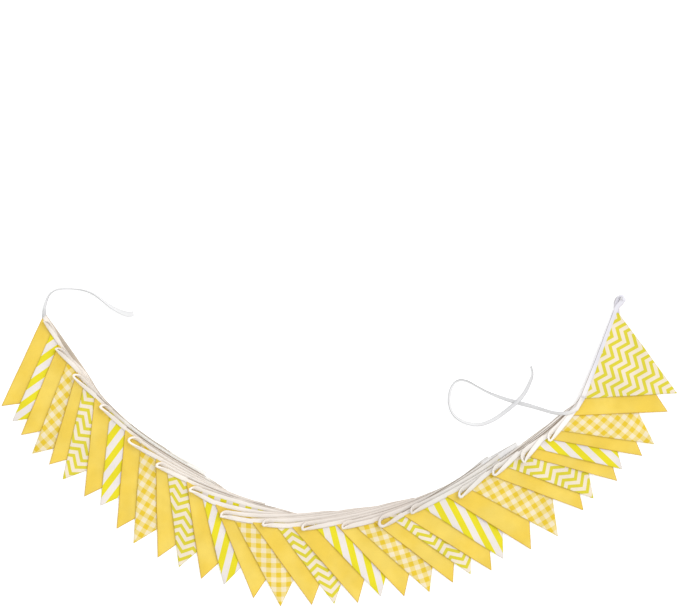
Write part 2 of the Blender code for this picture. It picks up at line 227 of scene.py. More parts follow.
# Painted slit shadows beside the folds of these headers.
SLIT_SHADOW_ROWS = rows(
    SlitShadowRow,
    (7, 0.8), (8, 0.5), (9, 1), (10, 0.5), (13, 0.8), (14, 0.5), (22, 0.5), (25, 0.9), (26, 0.5),
    (29, 0.8), (30, 0.9), (31, 1), (32, 0.9), (33, 0.6),
)
LEAF_ROWS = rows(
    LeafRow,
    (0.2, 0.48, 0), (2.2, 0.5, 0), (4.6, 0.225, 0.275), (6.6, 0.05, 0.45),
)
# The tape's tones along the arc: lighter at the left, darker through the middle; the grey lavender at the
# right end is painted shade, where the tape faces away from the light.
TONE_ROWS = rows(
    ToneRow,
    (-250, (0.845, 0.79, 0.73)), (-20, (0.75, 0.69, 0.635)), (110, (0.69, 0.63, 0.58)),
    (200, (0.72, 0.69, 0.652)), (300, (0.73, 0.7, 0.66)), (360, (0.8, 0.76, 0.715)),
    (425, (0.86, 0.82, 0.78)), (462, (0.8, 0.77, 0.755)), (488, (0.66, 0.65, 0.7)),
)
TIE_TONE_ROWS = rows(ToneRow, (425, (0.69, 0.69, 0.695)), (465, (0.76, 0.72, 0.7)))
TIE_LEFT_ROWS = rows(
    TieRow,
    (-390.5, 261, 0, 0), (-403, 260.5, 0, 10), (-416, 265, 0, 35), (-433, 274, 0, 56),
    (-449.5, 286.5, 0, 68), (-466, 298.5, 0, 74), (-486, 306, 0, 78), (-511, 309, 0, 78),
    (-533, 308, 0, 76), (-547, 301, 0, 74), (-554.5, 289.5, 0, 66), (-560, 272, 0, 52),
)
TIE_RIGHT_ROWS = rows(
    TieRow,
    (450.5, 81.5, 15.6, 26), (436, 73.6, 16.4, 42), (419, 72, 14.6, 50), (403, 74, 11, 54),
    (386, 79, 4.8, 52), (363, 86, 0.4, 46), (336.5, 93, 0, 46), (310, 101, 0, 54), (282, 112, 0, 70),
    (260, 124, 0, 76), (243, 133, 0, 74), (228, 135, 0, 70), (216.5, 127, 0, 68), (210, 110, 0, 62),
    (209.5, 88, 0, 66), (217.5, 69, 0, 66), (237, 55.5, 0, 60), (264, 50.5, 0, 56), (288, 57.5, 0, 52),
    (311, 72, 1.6, 48), (336.5, 93, 3.6, 46), (352, 111, 2.2, 50), (362.5, 132, 0.2, 58),
    (367, 147, 0, 72), (364, 161.5, 0, 76),
)


def smooth_step(value: float) -> float:
    """Ease from 0 to 1, flat at both ends."""
    value = min(1.0, max(0.0, value))
    return value * value * (3.0 - 2.0 * value)


def heading(degrees: float) -> Vector:
    """Unit vector on the floor at a bearing from +X."""
    return Vector((math.cos(math.radians(degrees)), math.sin(math.radians(degrees))))


def left_of(direction: Vector) -> Vector:
    """The direction a quarter turn to the left."""
    return Vector((-direction.y, direction.x))


def spline(points: list[Vector], steps: int) -> list[Vector]:
    """Catmull-Rom curve through points.

    Args:
        points: the points, of any dimension.
        steps: steps for each span.

    Returns:
        The points of the curve, both ends included.
    """
    padded = [points[0] * 2 - points[1], *points, points[-1] * 2 - points[-2]]
    curve = []
    for index in range(1, len(padded) - 2):
        before, start, end, after = padded[index - 1:index + 3]
        for step in range(steps):
            t = step / steps
            curve.append((start * 2 + (end - before) * t
                          + (before * 2 - start * 5 + end * 4 - after) * t * t
                          + (start * 3 - before - end * 3 + after) * t ** 3) * 0.5)
    curve.append(points[-1].copy())
    return curve


def bezier(start: Vector, start_pull: Vector, end_pull: Vector, end: Vector, t: float) -> Vector:
    """Point of a cubic curve at t, from 0 to 1."""
    s = 1.0 - t
    return start * s ** 3 + start_pull * 3 * s * s * t + end_pull * 3 * s * t * t + end * t ** 3


class Cloth(Enum):
    """The cloths that the pennants are cut from."""

    PLAIN = "plain"
    STRIPE = "stripe"
    GINGHAM = "gingham"
    CHEVRON = "chevron"

    @classmethod
    def of_pennant(cls, number: int) -> "Cloth":
        """Every second pennant is plain, and the prints between take turns.

        Args:
            number: the pennant's place in the string, from 0.

        Returns:
            Its cloth.
        """
        if number % 2 == 0:
            return cls.PLAIN
        return (cls.STRIPE, cls.GINGHAM, cls.CHEVRON)[number // 2 % 3]


def set_inputs(node: bpy.types.Node, values: dict[str, object]) -> None:
    """Set a node's inputs by their names.

    Args:
        node: the node.
        values: the inputs' names and values.
    """
    for name, value in values.items():
        node.inputs[name].default_value = value


def finished_mesh(bm: bmesh.types.BMesh, name: str) -> bpy.types.Mesh:
    """Keep what was shaped as a mesh with smooth shading.

    Args:
        bm: the shape, which is freed.
        name: the mesh's name.

    Returns:
        The mesh.
    """
    mesh = bpy.data.meshes.new(name)
    bm.to_mesh(mesh)
    bm.free()
    mesh.shade_smooth()
    return mesh


def link_piece(name: str, mesh: bpy.types.Mesh, finish: bpy.types.Material) -> bpy.types.Object:
    """Put a mesh in the scene with its finish.

    Args:
        name: the piece's name.
        mesh: its mesh.
        finish: its material.

    Returns:
        The new object, at the origin.
    """
    piece = bpy.data.objects.new(name, mesh)
    mesh.materials.append(finish)
    bpy.context.scene.collection.objects.link(piece)
    return piece


# --------------------------------------------------------------------------- finishes


class NodeBench:
    """Adds and links the nodes of one material."""

    def __init__(self, name: str) -> None:
        """Start a material.

        Args:
            name: the material's name.
        """
        self.material = bpy.data.materials.new(name)
        self.material.use_nodes = True
        self.nodes = self.material.node_tree.nodes
        self.links = self.material.node_tree.links
        self.shader = self.nodes["Principled BSDF"]

    def feed(self, socket: Socket, value: object) -> None:
        """Link a socket to another, or set its value.

        Args:
            socket: the socket that is fed.
            value: another socket, a number or a colour.
        """
        if isinstance(value, Socket):
            self.links.new(value, socket)
        else:
            socket.default_value = (*value, 1.0) if isinstance(value, tuple) else value

    def add(self, kind: str, inputs: dict[int | str, object], **settings: object) -> bpy.types.Node:
        """Add a node.

        Args:
            kind: Blender's name of the node, without its first words.
            inputs: numbers, colours or sockets that feed its inputs.
            settings: what else is set on it.

        Returns:
            The node.
        """
        node = self.nodes.new(f"ShaderNode{kind}")
        for name, value in settings.items():
            setattr(node, name, value)
        for key, value in inputs.items():
            self.feed(node.inputs[key], value)
        return node

    def math(self, operation: str, *values: object) -> Socket:
        """One sum, product or other operation on numbers or sockets."""
        return self.add("Math", dict(enumerate(values)), operation=operation).outputs[0]

    def ramp(self, value: object, low: object, high: object, start: float = 0.0, end: float = 1.0) -> Socket:
        """Ease a value from low..high to start..end."""
        inputs = {"Value": value, "From Min": low, "From Max": high, "To Min": start, "To Max": end}
        return self.add("MapRange", inputs, interpolation_type="SMOOTHSTEP").outputs[0]

    def mix(self, share: object, first: object, second: object, blend: str = "MIX") -> Socket:
        """Mix two colours, with a share of the second one. Blender numbers their sockets 6, 7 and 2."""
        inputs = {0: share, 6: first, 7: second}
        return self.add("Mix", inputs, data_type="RGBA", blend_type=blend).outputs[2]

    def gradient(self, value: object, tones: tuple[ToneRow, ...]) -> Socket:
        """Colours that change evenly along a value.

        Args:
            value: the place, in metres.
            tones: the colours and their places, in order.

        Returns:
            The colour's socket.
        """
        low, high = tones[0].x * MM, tones[-1].x * MM
        share = self.math("DIVIDE", self.math("SUBTRACT", value, low), high - low)
        node = self.add("ValToRGB", {0: share})
        first, last = node.color_ramp.elements
        first.color = (*tones[0].colour, 1.0)
        last.color = (*tones[-1].colour, 1.0)
        for tone in tones[1:-1]:
            stop = node.color_ramp.elements.new((tone.x * MM - low) / (high - low))
            stop.color = (*tone.colour, 1.0)
        return node.outputs[0]

    def noise(self, scale: float, detail: float = 2.0) -> Socket:
        """Noise from 0 to 1 with so many periods for each metre, and finer layers on it."""
        inputs = {"Vector": self.object_coordinates(), "Scale": scale, "Detail": detail}
        return self.add("TexNoise", inputs).outputs["Fac"]

    def object_coordinates(self) -> Socket:
        """The place of a point in the piece's own mesh."""
        return self.add("TexCoord", {}).outputs["Object"]

    def across(self) -> Socket:
        """The place along X, in metres."""
        return self.add("SeparateXYZ", {0: self.object_coordinates()}).outputs[0]

    def stretch(self, places: Stretch) -> Socket:
        """1 along a part of the arc, easing to 0 at its ends.

        Args:
            places: where that part begins and ends.

        Returns:
            The share's socket.
        """
        start, full, until, end = (place * MM for place in places)
        return self.math("MULTIPLY", self.ramp(self.across(), start, full),
                         self.ramp(self.across(), until, end, 1.0, 0.0))

    def map_place(self, name: str) -> tuple[Socket, Socket]:
        """The place on the cloth by a UV map, in metres."""
        split = self.add("SeparateXYZ", {0: self.add("UVMap", {}, uv_map=name).outputs[0]})
        return split.outputs[0], split.outputs[1]

    def attribute(self, name: str) -> Socket:
        """A number stored on the piece's points."""
        return self.add("Attribute", {}, attribute_name=name).outputs["Fac"]

    def wave(self, place: object, pitch: float) -> Socket:
        """A sine from -1 to 1 that repeats every pitch metres."""
        return self.math("SINE", self.math("MULTIPLY", place, math.tau / pitch))

    def between(self, place: object, pitch: float, width: float, edge: float) -> Socket:
        """0 on lines of a width at every pitch, and 1 between them, with soft edges."""
        away = self.math("PINGPONG", place, pitch / 2)
        return self.ramp(away, width / 2 - edge, width / 2 + edge)

    def bump(self, height: Socket, strength: float, distance: float, under: Socket | None = None) -> Socket:
        """Raise the surface a little.

        Args:
            height: the height's socket, from 0 to 1.
            strength: how much of it shows.
            distance: metres for a height of 1.
            under: another bump beneath it.

        Returns:
            The normal's socket.
        """
        node = self.add("Bump", {"Height": height, "Strength": strength, "Distance": distance})
        if under is not None:
            self.feed(node.inputs["Normal"], under)
        return node.outputs[0]


@dataclass(frozen=True)
class Cotton:
    """Woven cotton: a plain weave with slubs, a soft sheen, and painted shade along the sewn edges."""

    name: str
    ground: Colour = (0.731, 0.517, 0.068)
    faded: Colour = (0.754, 0.562, 0.106)
    patch_detail: float = 3.0
    fade_scale: float = 13.0
    fade_band: tuple[float, float] = (0.34, 0.66)
    noise_band: tuple[float, float] = (0.3, 0.7)
    mottle_scale: float = 22.0
    mottle: tuple[float, float] = (0.955, 1.03)
    grain_scale: float = 900.0
    grain: float = 0.02
    grain_detail: float = 1.0
    # Painted shade along the sewn edges, for their thin contact shadows.
    seam_shade: Colour = (0.62, 0.45, 0.20)
    seam_width: float = 1.6 * MM
    thread: float = 0.42 * MM
    weave_depth: float = 0.05 * MM
    weave_strength: float = 0.6
    slub_scale: float = 160.0
    slub_depth: float = 0.25 * MM
    slub_strength: float = 0.5
    roughness: float = 0.88
    sheen: float = 0.12
    sheen_roughness: float = 0.5
    specular: float = 0.25

    def colour(self, bench: NodeBench) -> Socket:
        """The cloth's colour, a little faded in soft patches."""
        share = bench.ramp(bench.noise(self.fade_scale, self.patch_detail), *self.fade_band)
        return bench.mix(share, self.ground, self.faded)

    def with_painted_shade(self, bench: NodeBench, colour: Socket) -> Socket:
        """The colour, with painted shade along the sewn edge, for the thin contact shadow along it."""
        # Mask of the painted edge shade, strongest at the edge.
        seam = bench.ramp(bench.attribute("seam"), 0.0, self.seam_width, 1.0, 0.0)
        return bench.mix(seam, colour, self.seam_shade, "MULTIPLY")

    def stitches(self, bench: NodeBench, under: Socket) -> Socket:
        """Sewing that shows on the cloth, as a bump. There is none on a pennant's face."""
        return under

    def material(self) -> bpy.types.Material:
        """Build the cloth's material.

        Returns:
            The material, whose patterns follow the piece's UV map and its seam attribute.
        """
        bench = NodeBench(self.name)
        along, down = bench.map_place("Cloth")
        mottle = bench.ramp(bench.noise(self.mottle_scale), *self.noise_band, *self.mottle)
        threads = bench.noise(self.grain_scale, self.grain_detail)
        tone = bench.math("ADD", mottle, bench.ramp(threads, *self.noise_band, -self.grain, self.grain))
        grey = bench.add("CombineColor", {0: tone, 1: tone, 2: tone})
        colour = bench.mix(1.0, self.colour(bench), grey.outputs[0], "MULTIPLY")
        weave = bench.math("MULTIPLY", bench.wave(along, self.thread), bench.wave(down, self.thread))
        bump = bench.bump(weave, self.weave_strength, self.weave_depth)
        slubs = bench.noise(self.slub_scale, self.patch_detail)
        bump = bench.bump(slubs, self.slub_strength, self.slub_depth, bump)
        bench.feed(bench.shader.inputs["Base Color"], self.with_painted_shade(bench, colour))
        bench.feed(bench.shader.inputs["Normal"], self.stitches(bench, bump))
        set_inputs(bench.shader, {
            "Roughness": self.roughness,
            "Sheen Weight": self.sheen,
            "Sheen Roughness": self.sheen_roughness,
            "Specular IOR Level": self.specular,
        })
        return bench.material


@dataclass(frozen=True)
class StripedCotton(Cotton):
    """White cotton with broad lemon stripes."""

    white: Colour = (0.709, 0.66, 0.62)
    lemon: Colour = (0.69, 0.605, 0.015)
    # Painted shade along the sewn edges.
    seam_shade: Colour = (0.8, 0.78, 0.7)
    pitch: float = 24.5 * MM
    edge: float = 0.35 * MM

    def colour(self, bench: NodeBench) -> Socket:
        """Stripes down the cloth."""
        along, _ = bench.map_place("Print")
        return bench.mix(bench.between(along, self.pitch, self.pitch / 2, self.edge), self.white, self.lemon)


@dataclass(frozen=True)
class GinghamCotton(Cotton):
    """Gingham: golden and white threads in bands both ways, so that bands cross in three tones."""

    white: Colour = (0.752, 0.658, 0.46)
    pale: Colour = (0.728, 0.581, 0.203)
    gold: Colour = (0.685, 0.48, 0.03)
    # Painted shade along the sewn edges.
    seam_shade: Colour = (0.8, 0.75, 0.6)
    pitch: float = 18.9 * MM
    edge: float = 0.5 * MM

    def colour(self, bench: NodeBench) -> Socket:
        """Two sets of bands, pale on their own and golden where they cross.

        Args:
            bench: the material.

        Returns:
            The colour's socket.
        """
        one, two = (bench.between(place, self.pitch, self.pitch / 2, self.edge)
                    for place in bench.map_place("Print"))
        return bench.mix(one, bench.mix(two, self.white, self.pale), bench.mix(two, self.pale, self.gold))


@dataclass(frozen=True)
class ChevronCotton(Cotton):
    """White cotton with thin zigzag lines that run along the header."""

    white: Colour = (0.732, 0.648, 0.51)
    line: Colour = (0.61, 0.534, 0.034)
    # Painted shade along the sewn edges.
    seam_shade: Colour = (0.8, 0.78, 0.65)
    pitch: float = 16.85 * MM
    line_width: float = 8.0 * MM
    period: float = 35.5 * MM
    rise: float = 14.0 * MM
    edge: float = 0.45 * MM

    def colour(self, bench: NodeBench) -> Socket:
        """Zigzag lines at an even spacing.

        Args:
            bench: the material.

        Returns:
            The colour's socket.
        """
        along, down = bench.map_place("Print")
        zigzag = bench.math("MULTIPLY", bench.math("PINGPONG", along, self.period / 2),
                            self.rise / (self.period / 2))
        ground = bench.between(bench.math("ADD", down, zigzag), self.pitch, self.line_width, self.edge)
        return bench.mix(ground, self.line, self.white)


@dataclass(frozen=True)
class TapeCotton(Cotton):
    """Cream cotton tape with the line of stitches that closes it."""

    tones: tuple[ToneRow, ...] = TONE_ROWS
    bleached: Colour = (0.74, 0.735, 0.735)
    pale: Colour = (0.93, 0.915, 0.87)
    pale_along: Stretch = Stretch(-430.0, -395.0, -265.0, -225.0)
    pale_width: float = 9.0 * MM
    pale_edge: float = 2.0 * MM
    cool_from: float = 462.0 * MM
    cool_full: float = 488.0 * MM
    # Painted shade: the colours below darken the cut edges, the fold, the slits beside some folds and the
    # band's inner rim, where the real tape falls into shadow.
    seam_shade: Colour = (0.66, 0.55, 0.48)
    seam_width: float = 0.9 * MM
    fold_place: float = 9.9 * MM
    fold_width: float = 0.9 * MM
    fold_shade: Colour = (0.86, 0.83, 0.80)
    # Painted shadow in dark slits beside some folds, where the real strands stand apart.
    slit_shade: Colour = (0.20, 0.13, 0.06)
    slit_width: float = 1.3 * MM
    slit_scale: float = 14.0
    slit_band: tuple[float, float] = (0.28, 0.46)
    # Painted shade along the band's inner rim, where the tape's edge falls into shadow: broadest at the left
    # end, fainter through the middle, greyer at the right end and on the bleached folds.
    rim_shade: Colour = (0.61, 0.56, 0.49)
    cool_rim_shade: Colour = (0.72, 0.71, 0.69)
    rim_width: float = 1.6 * MM
    rim_edge: float = 0.8 * MM
    broad_rim: float = 6.0 * MM
    broad_along: Stretch = Stretch(-548.0, -522.0, -512.0, -478.0)
    faint_along: Stretch = Stretch(-245.0, -205.0, 310.0, 345.0)
    faint_share: float = 0.6
    stitch_inset: float = 1.7 * MM
    stitch_pitch: float = 3.0 * MM
    stitch_width: float = 0.5 * MM
    stitch_depth: float = 0.25 * MM
    stitch_height: float = 1.2
    stitch_ends: tuple[float, float] = (0.2 * MM, 0.5 * MM)
    stitch_strength: float = 0.8

    def colour(self, bench: NodeBench) -> Socket:
        """The tones along the arc, with painted shade at its right end, bleached where a fold sticks out and
        pale at the outside.

        Args:
            bench: the material.

        Returns:
            The colour's socket.
        """
        ground = bench.gradient(bench.across(), self.tones)
        ground = bench.mix(bench.attribute("bleach"), ground, self.bleached)
        return bench.mix(self.outside(bench), ground, self.pale)

    def outside(self, bench: NodeBench) -> Socket:
        """1 where the band's outermost tape is pale, 0 elsewhere.

        Args:
            bench: the material.

        Returns:
            The share's socket.
        """
        depth = bench.attribute("depth")
        near = bench.ramp(depth, self.pale_width - self.pale_edge, self.pale_width, 1.0, 0.0)
        return bench.math("MULTIPLY", bench.stretch(self.pale_along), near)

    def with_painted_shade(self, bench: NodeBench, colour: Socket) -> Socket:
        """Paint shade on the tape along its cut edges, along its fold, in dark slits beside some folds and
        along the band's rim, where the real tape falls into shadow.

        Args:
            bench: the material.
            colour: the tape's colour.

        Returns:
            The darkened colour's socket.
        """
        colour = super().with_painted_shade(bench, colour)
        seam = bench.attribute("seam")
        # Painted slit shadow, uneven along the tape and as strong as each section's shade.
        uneven = bench.ramp(bench.noise(self.slit_scale), *self.slit_band)
        deep = bench.math("MULTIPLY", bench.attribute("shade"), uneven)
        width = bench.math("MULTIPLY_ADD", deep, self.slit_width, self.fold_width)
        fold = bench.ramp(seam, bench.math("SUBTRACT", self.fold_place, width), self.fold_place)
        shade = bench.mix(deep, self.fold_shade, self.slit_shade)
        colour = bench.mix(fold, colour, shade, "MULTIPLY")
        # Painted rim shade along the band's inner edge.
        broad = bench.stretch(self.broad_along)
        width = bench.math("MULTIPLY_ADD", broad, self.broad_rim, self.rim_width)
        depth = bench.attribute("depth")
        rim = bench.ramp(depth, bench.math("SUBTRACT", width, self.rim_edge), width, 1.0, 0.0)
        faint = bench.stretch(self.faint_along)
        share = bench.math("SUBTRACT", self.faint_share, bench.attribute("bleach"))
        faint = bench.math("MAXIMUM", self.outside(bench), bench.math("MULTIPLY", faint, share))
        rim = bench.math("MULTIPLY", rim, bench.math("SUBTRACT", 1.0, faint))
        cool = bench.math("MAXIMUM", bench.attribute("bleach"),
                          bench.ramp(bench.across(), self.cool_from, self.cool_full))
        shade = bench.mix(cool, self.rim_shade, self.cool_rim_shade)
        return bench.mix(rim, colour, shade, "MULTIPLY")

    def stitches(self, bench: NodeBench, under: Socket) -> Socket:
        """The line of stitches, sunk into the tape, with the threads standing in it.

        Args:
            bench: the material.
            under: the weave's bump.

        Returns:
            The normal's socket.
        """
        along, _ = bench.map_place("Cloth")
        seam = bench.attribute("seam")
        off_line = bench.math("ABSOLUTE", bench.math("SUBTRACT", seam, self.stitch_inset))
        groove = bench.ramp(off_line, 0.0, 2 * self.stitch_width, -1.0, 0.0)
        step = bench.math("PINGPONG", along, self.stitch_pitch / 2)
        thread = bench.ramp(off_line, 0.0, self.stitch_width, self.stitch_height, 0.0)
        thread = bench.math("MULTIPLY", thread, bench.ramp(step, *self.stitch_ends))
        return bench.bump(bench.math("ADD", groove, thread), self.stitch_strength, self.stitch_depth, under)


@dataclass(frozen=True)
class WhiteTapeCotton(TapeCotton):
    """The tape of the two free ends, which is whiter."""

    tones: tuple[ToneRow, ...] = TIE_TONE_ROWS
    # Painted grey shade along the free ends' edges and fold, and on their upright parts.
    seam_shade: Colour = (0.74, 0.74, 0.75)
    fold_shade: Colour = (0.74, 0.74, 0.75)
    slit_shade: Colour = (0.5, 0.5, 0.5)


# --------------------------------------------------------------------------- the pile of layers


class PennantPlan:
    """The three corners of one pennant on the floor, and the directions of its edges."""

    base = 175.0 * MM
    near_tip = 0.999

    def __init__(self, number: int, row: PennantRow) -> None:
        """Place a pennant.

        Args:
            number: its place in the string, from 0.
            row: where it lies.
        """
        self.number = number
        self.tip = Vector((row.tip_x, row.tip_y)) * MM
        self.along = heading(row.header_bearing)
        self.inward = left_of(self.along)
        self.left = self.tip + heading(row.edge_bearing) * (row.edge_length * MM)
        self.right = self.left + self.along * self.base
        self.height = (self.left - self.tip).dot(self.inward)
        self.sag = row.header_sag * MM
        self.middle = (self.left + self.right) / 2
        self.right_out = left_of((self.tip - self.right).normalized())
        self.left_out = left_of((self.left - self.tip).normalized())

    def past_right_edge(self, point: Vector) -> float:
        """Distance beyond the line of the right edge, negative on the cloth's side."""
        return (point - self.right).dot(self.right_out)

    def past_left_edge(self, point: Vector) -> float:
        """Distance beyond the line of the left edge, negative on the cloth's side."""
        return (point - self.left).dot(self.left_out)

    def down(self, point: Vector) -> float:
        """Distance below the tape."""
        return (self.left - point).dot(self.inward)

    def header_point(self, share: float) -> Vector:
        """Point of the sagging top edge, by its share of the way from the left corner."""
        return self.left.lerp(self.right, share) - self.inward * (4 * self.sag * share * (1 - share))

    def header_direction(self, share: float) -> Vector:
        """Direction of the sagging top edge towards the right corner."""
        return (self.along - self.inward * (4 * self.sag * (1 - 2 * share) / self.base)).normalized()

    def hung(self, point: Vector) -> Vector:
        """Move a point of the straight triangle with the sag of its top edge.

        Args:
            point: the point on the floor.

        Returns:
            Its new place.
        """
        below = self.down(point) / self.height
        if below > self.near_tip:
            return point
        share = ((point - self.tip * below) / (1 - below) - self.left).dot(self.along) / self.base
        return point - self.inward * (4 * self.sag * share * (1 - share) * (1 - below))

    def gap(self, point: Vector) -> float:
        """Distance of a point outside the pennant, negative on it."""
        return max(self.past_right_edge(point), self.past_left_edge(point), -self.down(point))


class BandPlace(NamedTuple):
    """A point against the band's inner edge: its distance, and the edge's direction beside it.

    The two last numbers are how far along that edge it is, and how far inside the arc.
    """

    distance: float
    direction: Vector
    along: float
    inside: float


@dataclass
class LayerPile:
    """How high each layer of the bunting lies at each place."""

    plans: list[PennantPlan]
    band: list[Vector]
    rise: float = 1.85 * MM
    cover_fade: float = 42.0 * MM
    cover_reach: float = 374.0 * MM
    pennants_beneath: int = 8
    fold_layers: float = 1.6
    band_flat: float = 40.0 * MM
    band_fade: float = 105.0 * MM
    top_tilt: float = math.radians(22.0)
    top_from: float = 470.0 * MM
    first_to: float = -490.0 * MM
    end_fade: float = 22.0 * MM
    wave_height: float = 1.2 * MM
    wave_length_x: float = 150.0 * MM
    wave_length_y: float = 118.0 * MM
    open_edge: float = 60.0 * MM

    def cover(self, number: int, point: Vector) -> float:
        """How much a pennant lifts what lies over it: 1 on it, and 0 beyond its right edge.

        Args:
            number: the pennant's place in the string, from 0.
            point: a point on the floor.

        Returns:
            The share of one layer's rise, which is 0 far along the arc too.
        """
        plan = self.plans[number]
        if (point - plan.right).length > self.cover_reach:
            return 0.0
        return 1.0 - min(1.0, max(0.0, plan.past_right_edge(point) / self.cover_fade))

    def band_place(self, point: Vector) -> BandPlace:
        """Find the nearest place on the inner edge of the tape band.

        Args:
            point: a point on the floor.

        Returns:
            The point's place against that edge.
        """
        nearest, travelled = math.inf, 0.0
        for start, end in zip(self.band[:-1], self.band[1:]):
            span = end - start
            share = min(1.0, max(0.0, (point - start).dot(span) / span.length_squared))
            away = point - start - span * share
            if away.length < nearest:
                nearest, found = away.length, (span, away, travelled + share * span.length)
            travelled += span.length
        span, away, along = found
        direction = span.normalized()
        return BandPlace(nearest, direction, along, away.dot(left_of(direction)))

    def settled(self, point: Vector) -> float:
        """Height that every layer shares: the flat folds in the band, and soft waves.

        Args:
            point: a point on the floor.

        Returns:
            The height in metres.
        """
        away = self.band_place(point).distance
        band = 1.0 - smooth_step((away - self.band_flat) / (self.band_fade - self.band_flat))
        first = 1.0 - self.cover(0, point)
        folds = self.rise * min(self.fold_layers, first + 1.0 - self.cover(1, point)) * band
        wave = (math.sin(point.x / self.wave_length_x * math.tau)
                + math.sin(point.y / self.wave_length_y * math.tau))
        return folds + self.wave_height * (2.0 + wave) / 4 * (1.0 - band) * first

    def height(self, number: int, point: Vector) -> float:
        """Height of the underside of a layer.

        Args:
            number: the layer's place in the string, from 0.
            point: a point on the floor.

        Returns:
            The height in metres.
        """
        beneath = range(max(0, number - self.pennants_beneath), min(number, len(self.plans)))
        return self.rise * sum(self.cover(under, point) for under in beneath) + self.settled(point)

    def tape_tilt(self, point: Vector, number: int) -> float:
        """How far a layer's tape stands up at a place of the band.

        Args:
            point: the place on the floor.
            number: the layer, from 0. The lowest one lies flat at first, and the topmost one ends
                at a tilt of its own.

        Returns:
            The angle above the floor, in radians.
        """
        tilt = self.band_tilt(point)
        if number == 0:
            return tilt * smooth_step((point.x - self.first_to) / self.end_fade)
        if number == len(self.plans) - 1:
            share = smooth_step((point.x - self.top_from) / self.end_fade)
            return tilt * (1.0 - share) + self.top_tilt * share
        return tilt

    def band_tilt(self, point: Vector) -> float:
        """How far the tape of the layers between the first and the last one stands up.

        Args:
            point: the place on the floor.

        Returns:
            The angle above the floor, in radians.
        """
        x = point.x / MM
        for before, after in zip(TILT_ROWS[:-1], TILT_ROWS[1:]):
            if x <= after.x:
                share = smooth_step((x - before.x) / (after.x - before.x))
                return math.radians(before.degrees + (after.degrees - before.degrees) * share)
        return math.radians(TILT_ROWS[-1].degrees)

    def open_strip(self, number: int, point: Vector) -> float:
        """How far a point of a pennant lies outside every pennant above it, 0 beneath one."""
        above = self.plans[number + 1:number + 1 + self.pennants_beneath]
        return max(0.0, min((plan.gap(point) for plan in above), default=self.open_edge))


# --------------------------------------------------------------------------- pennants


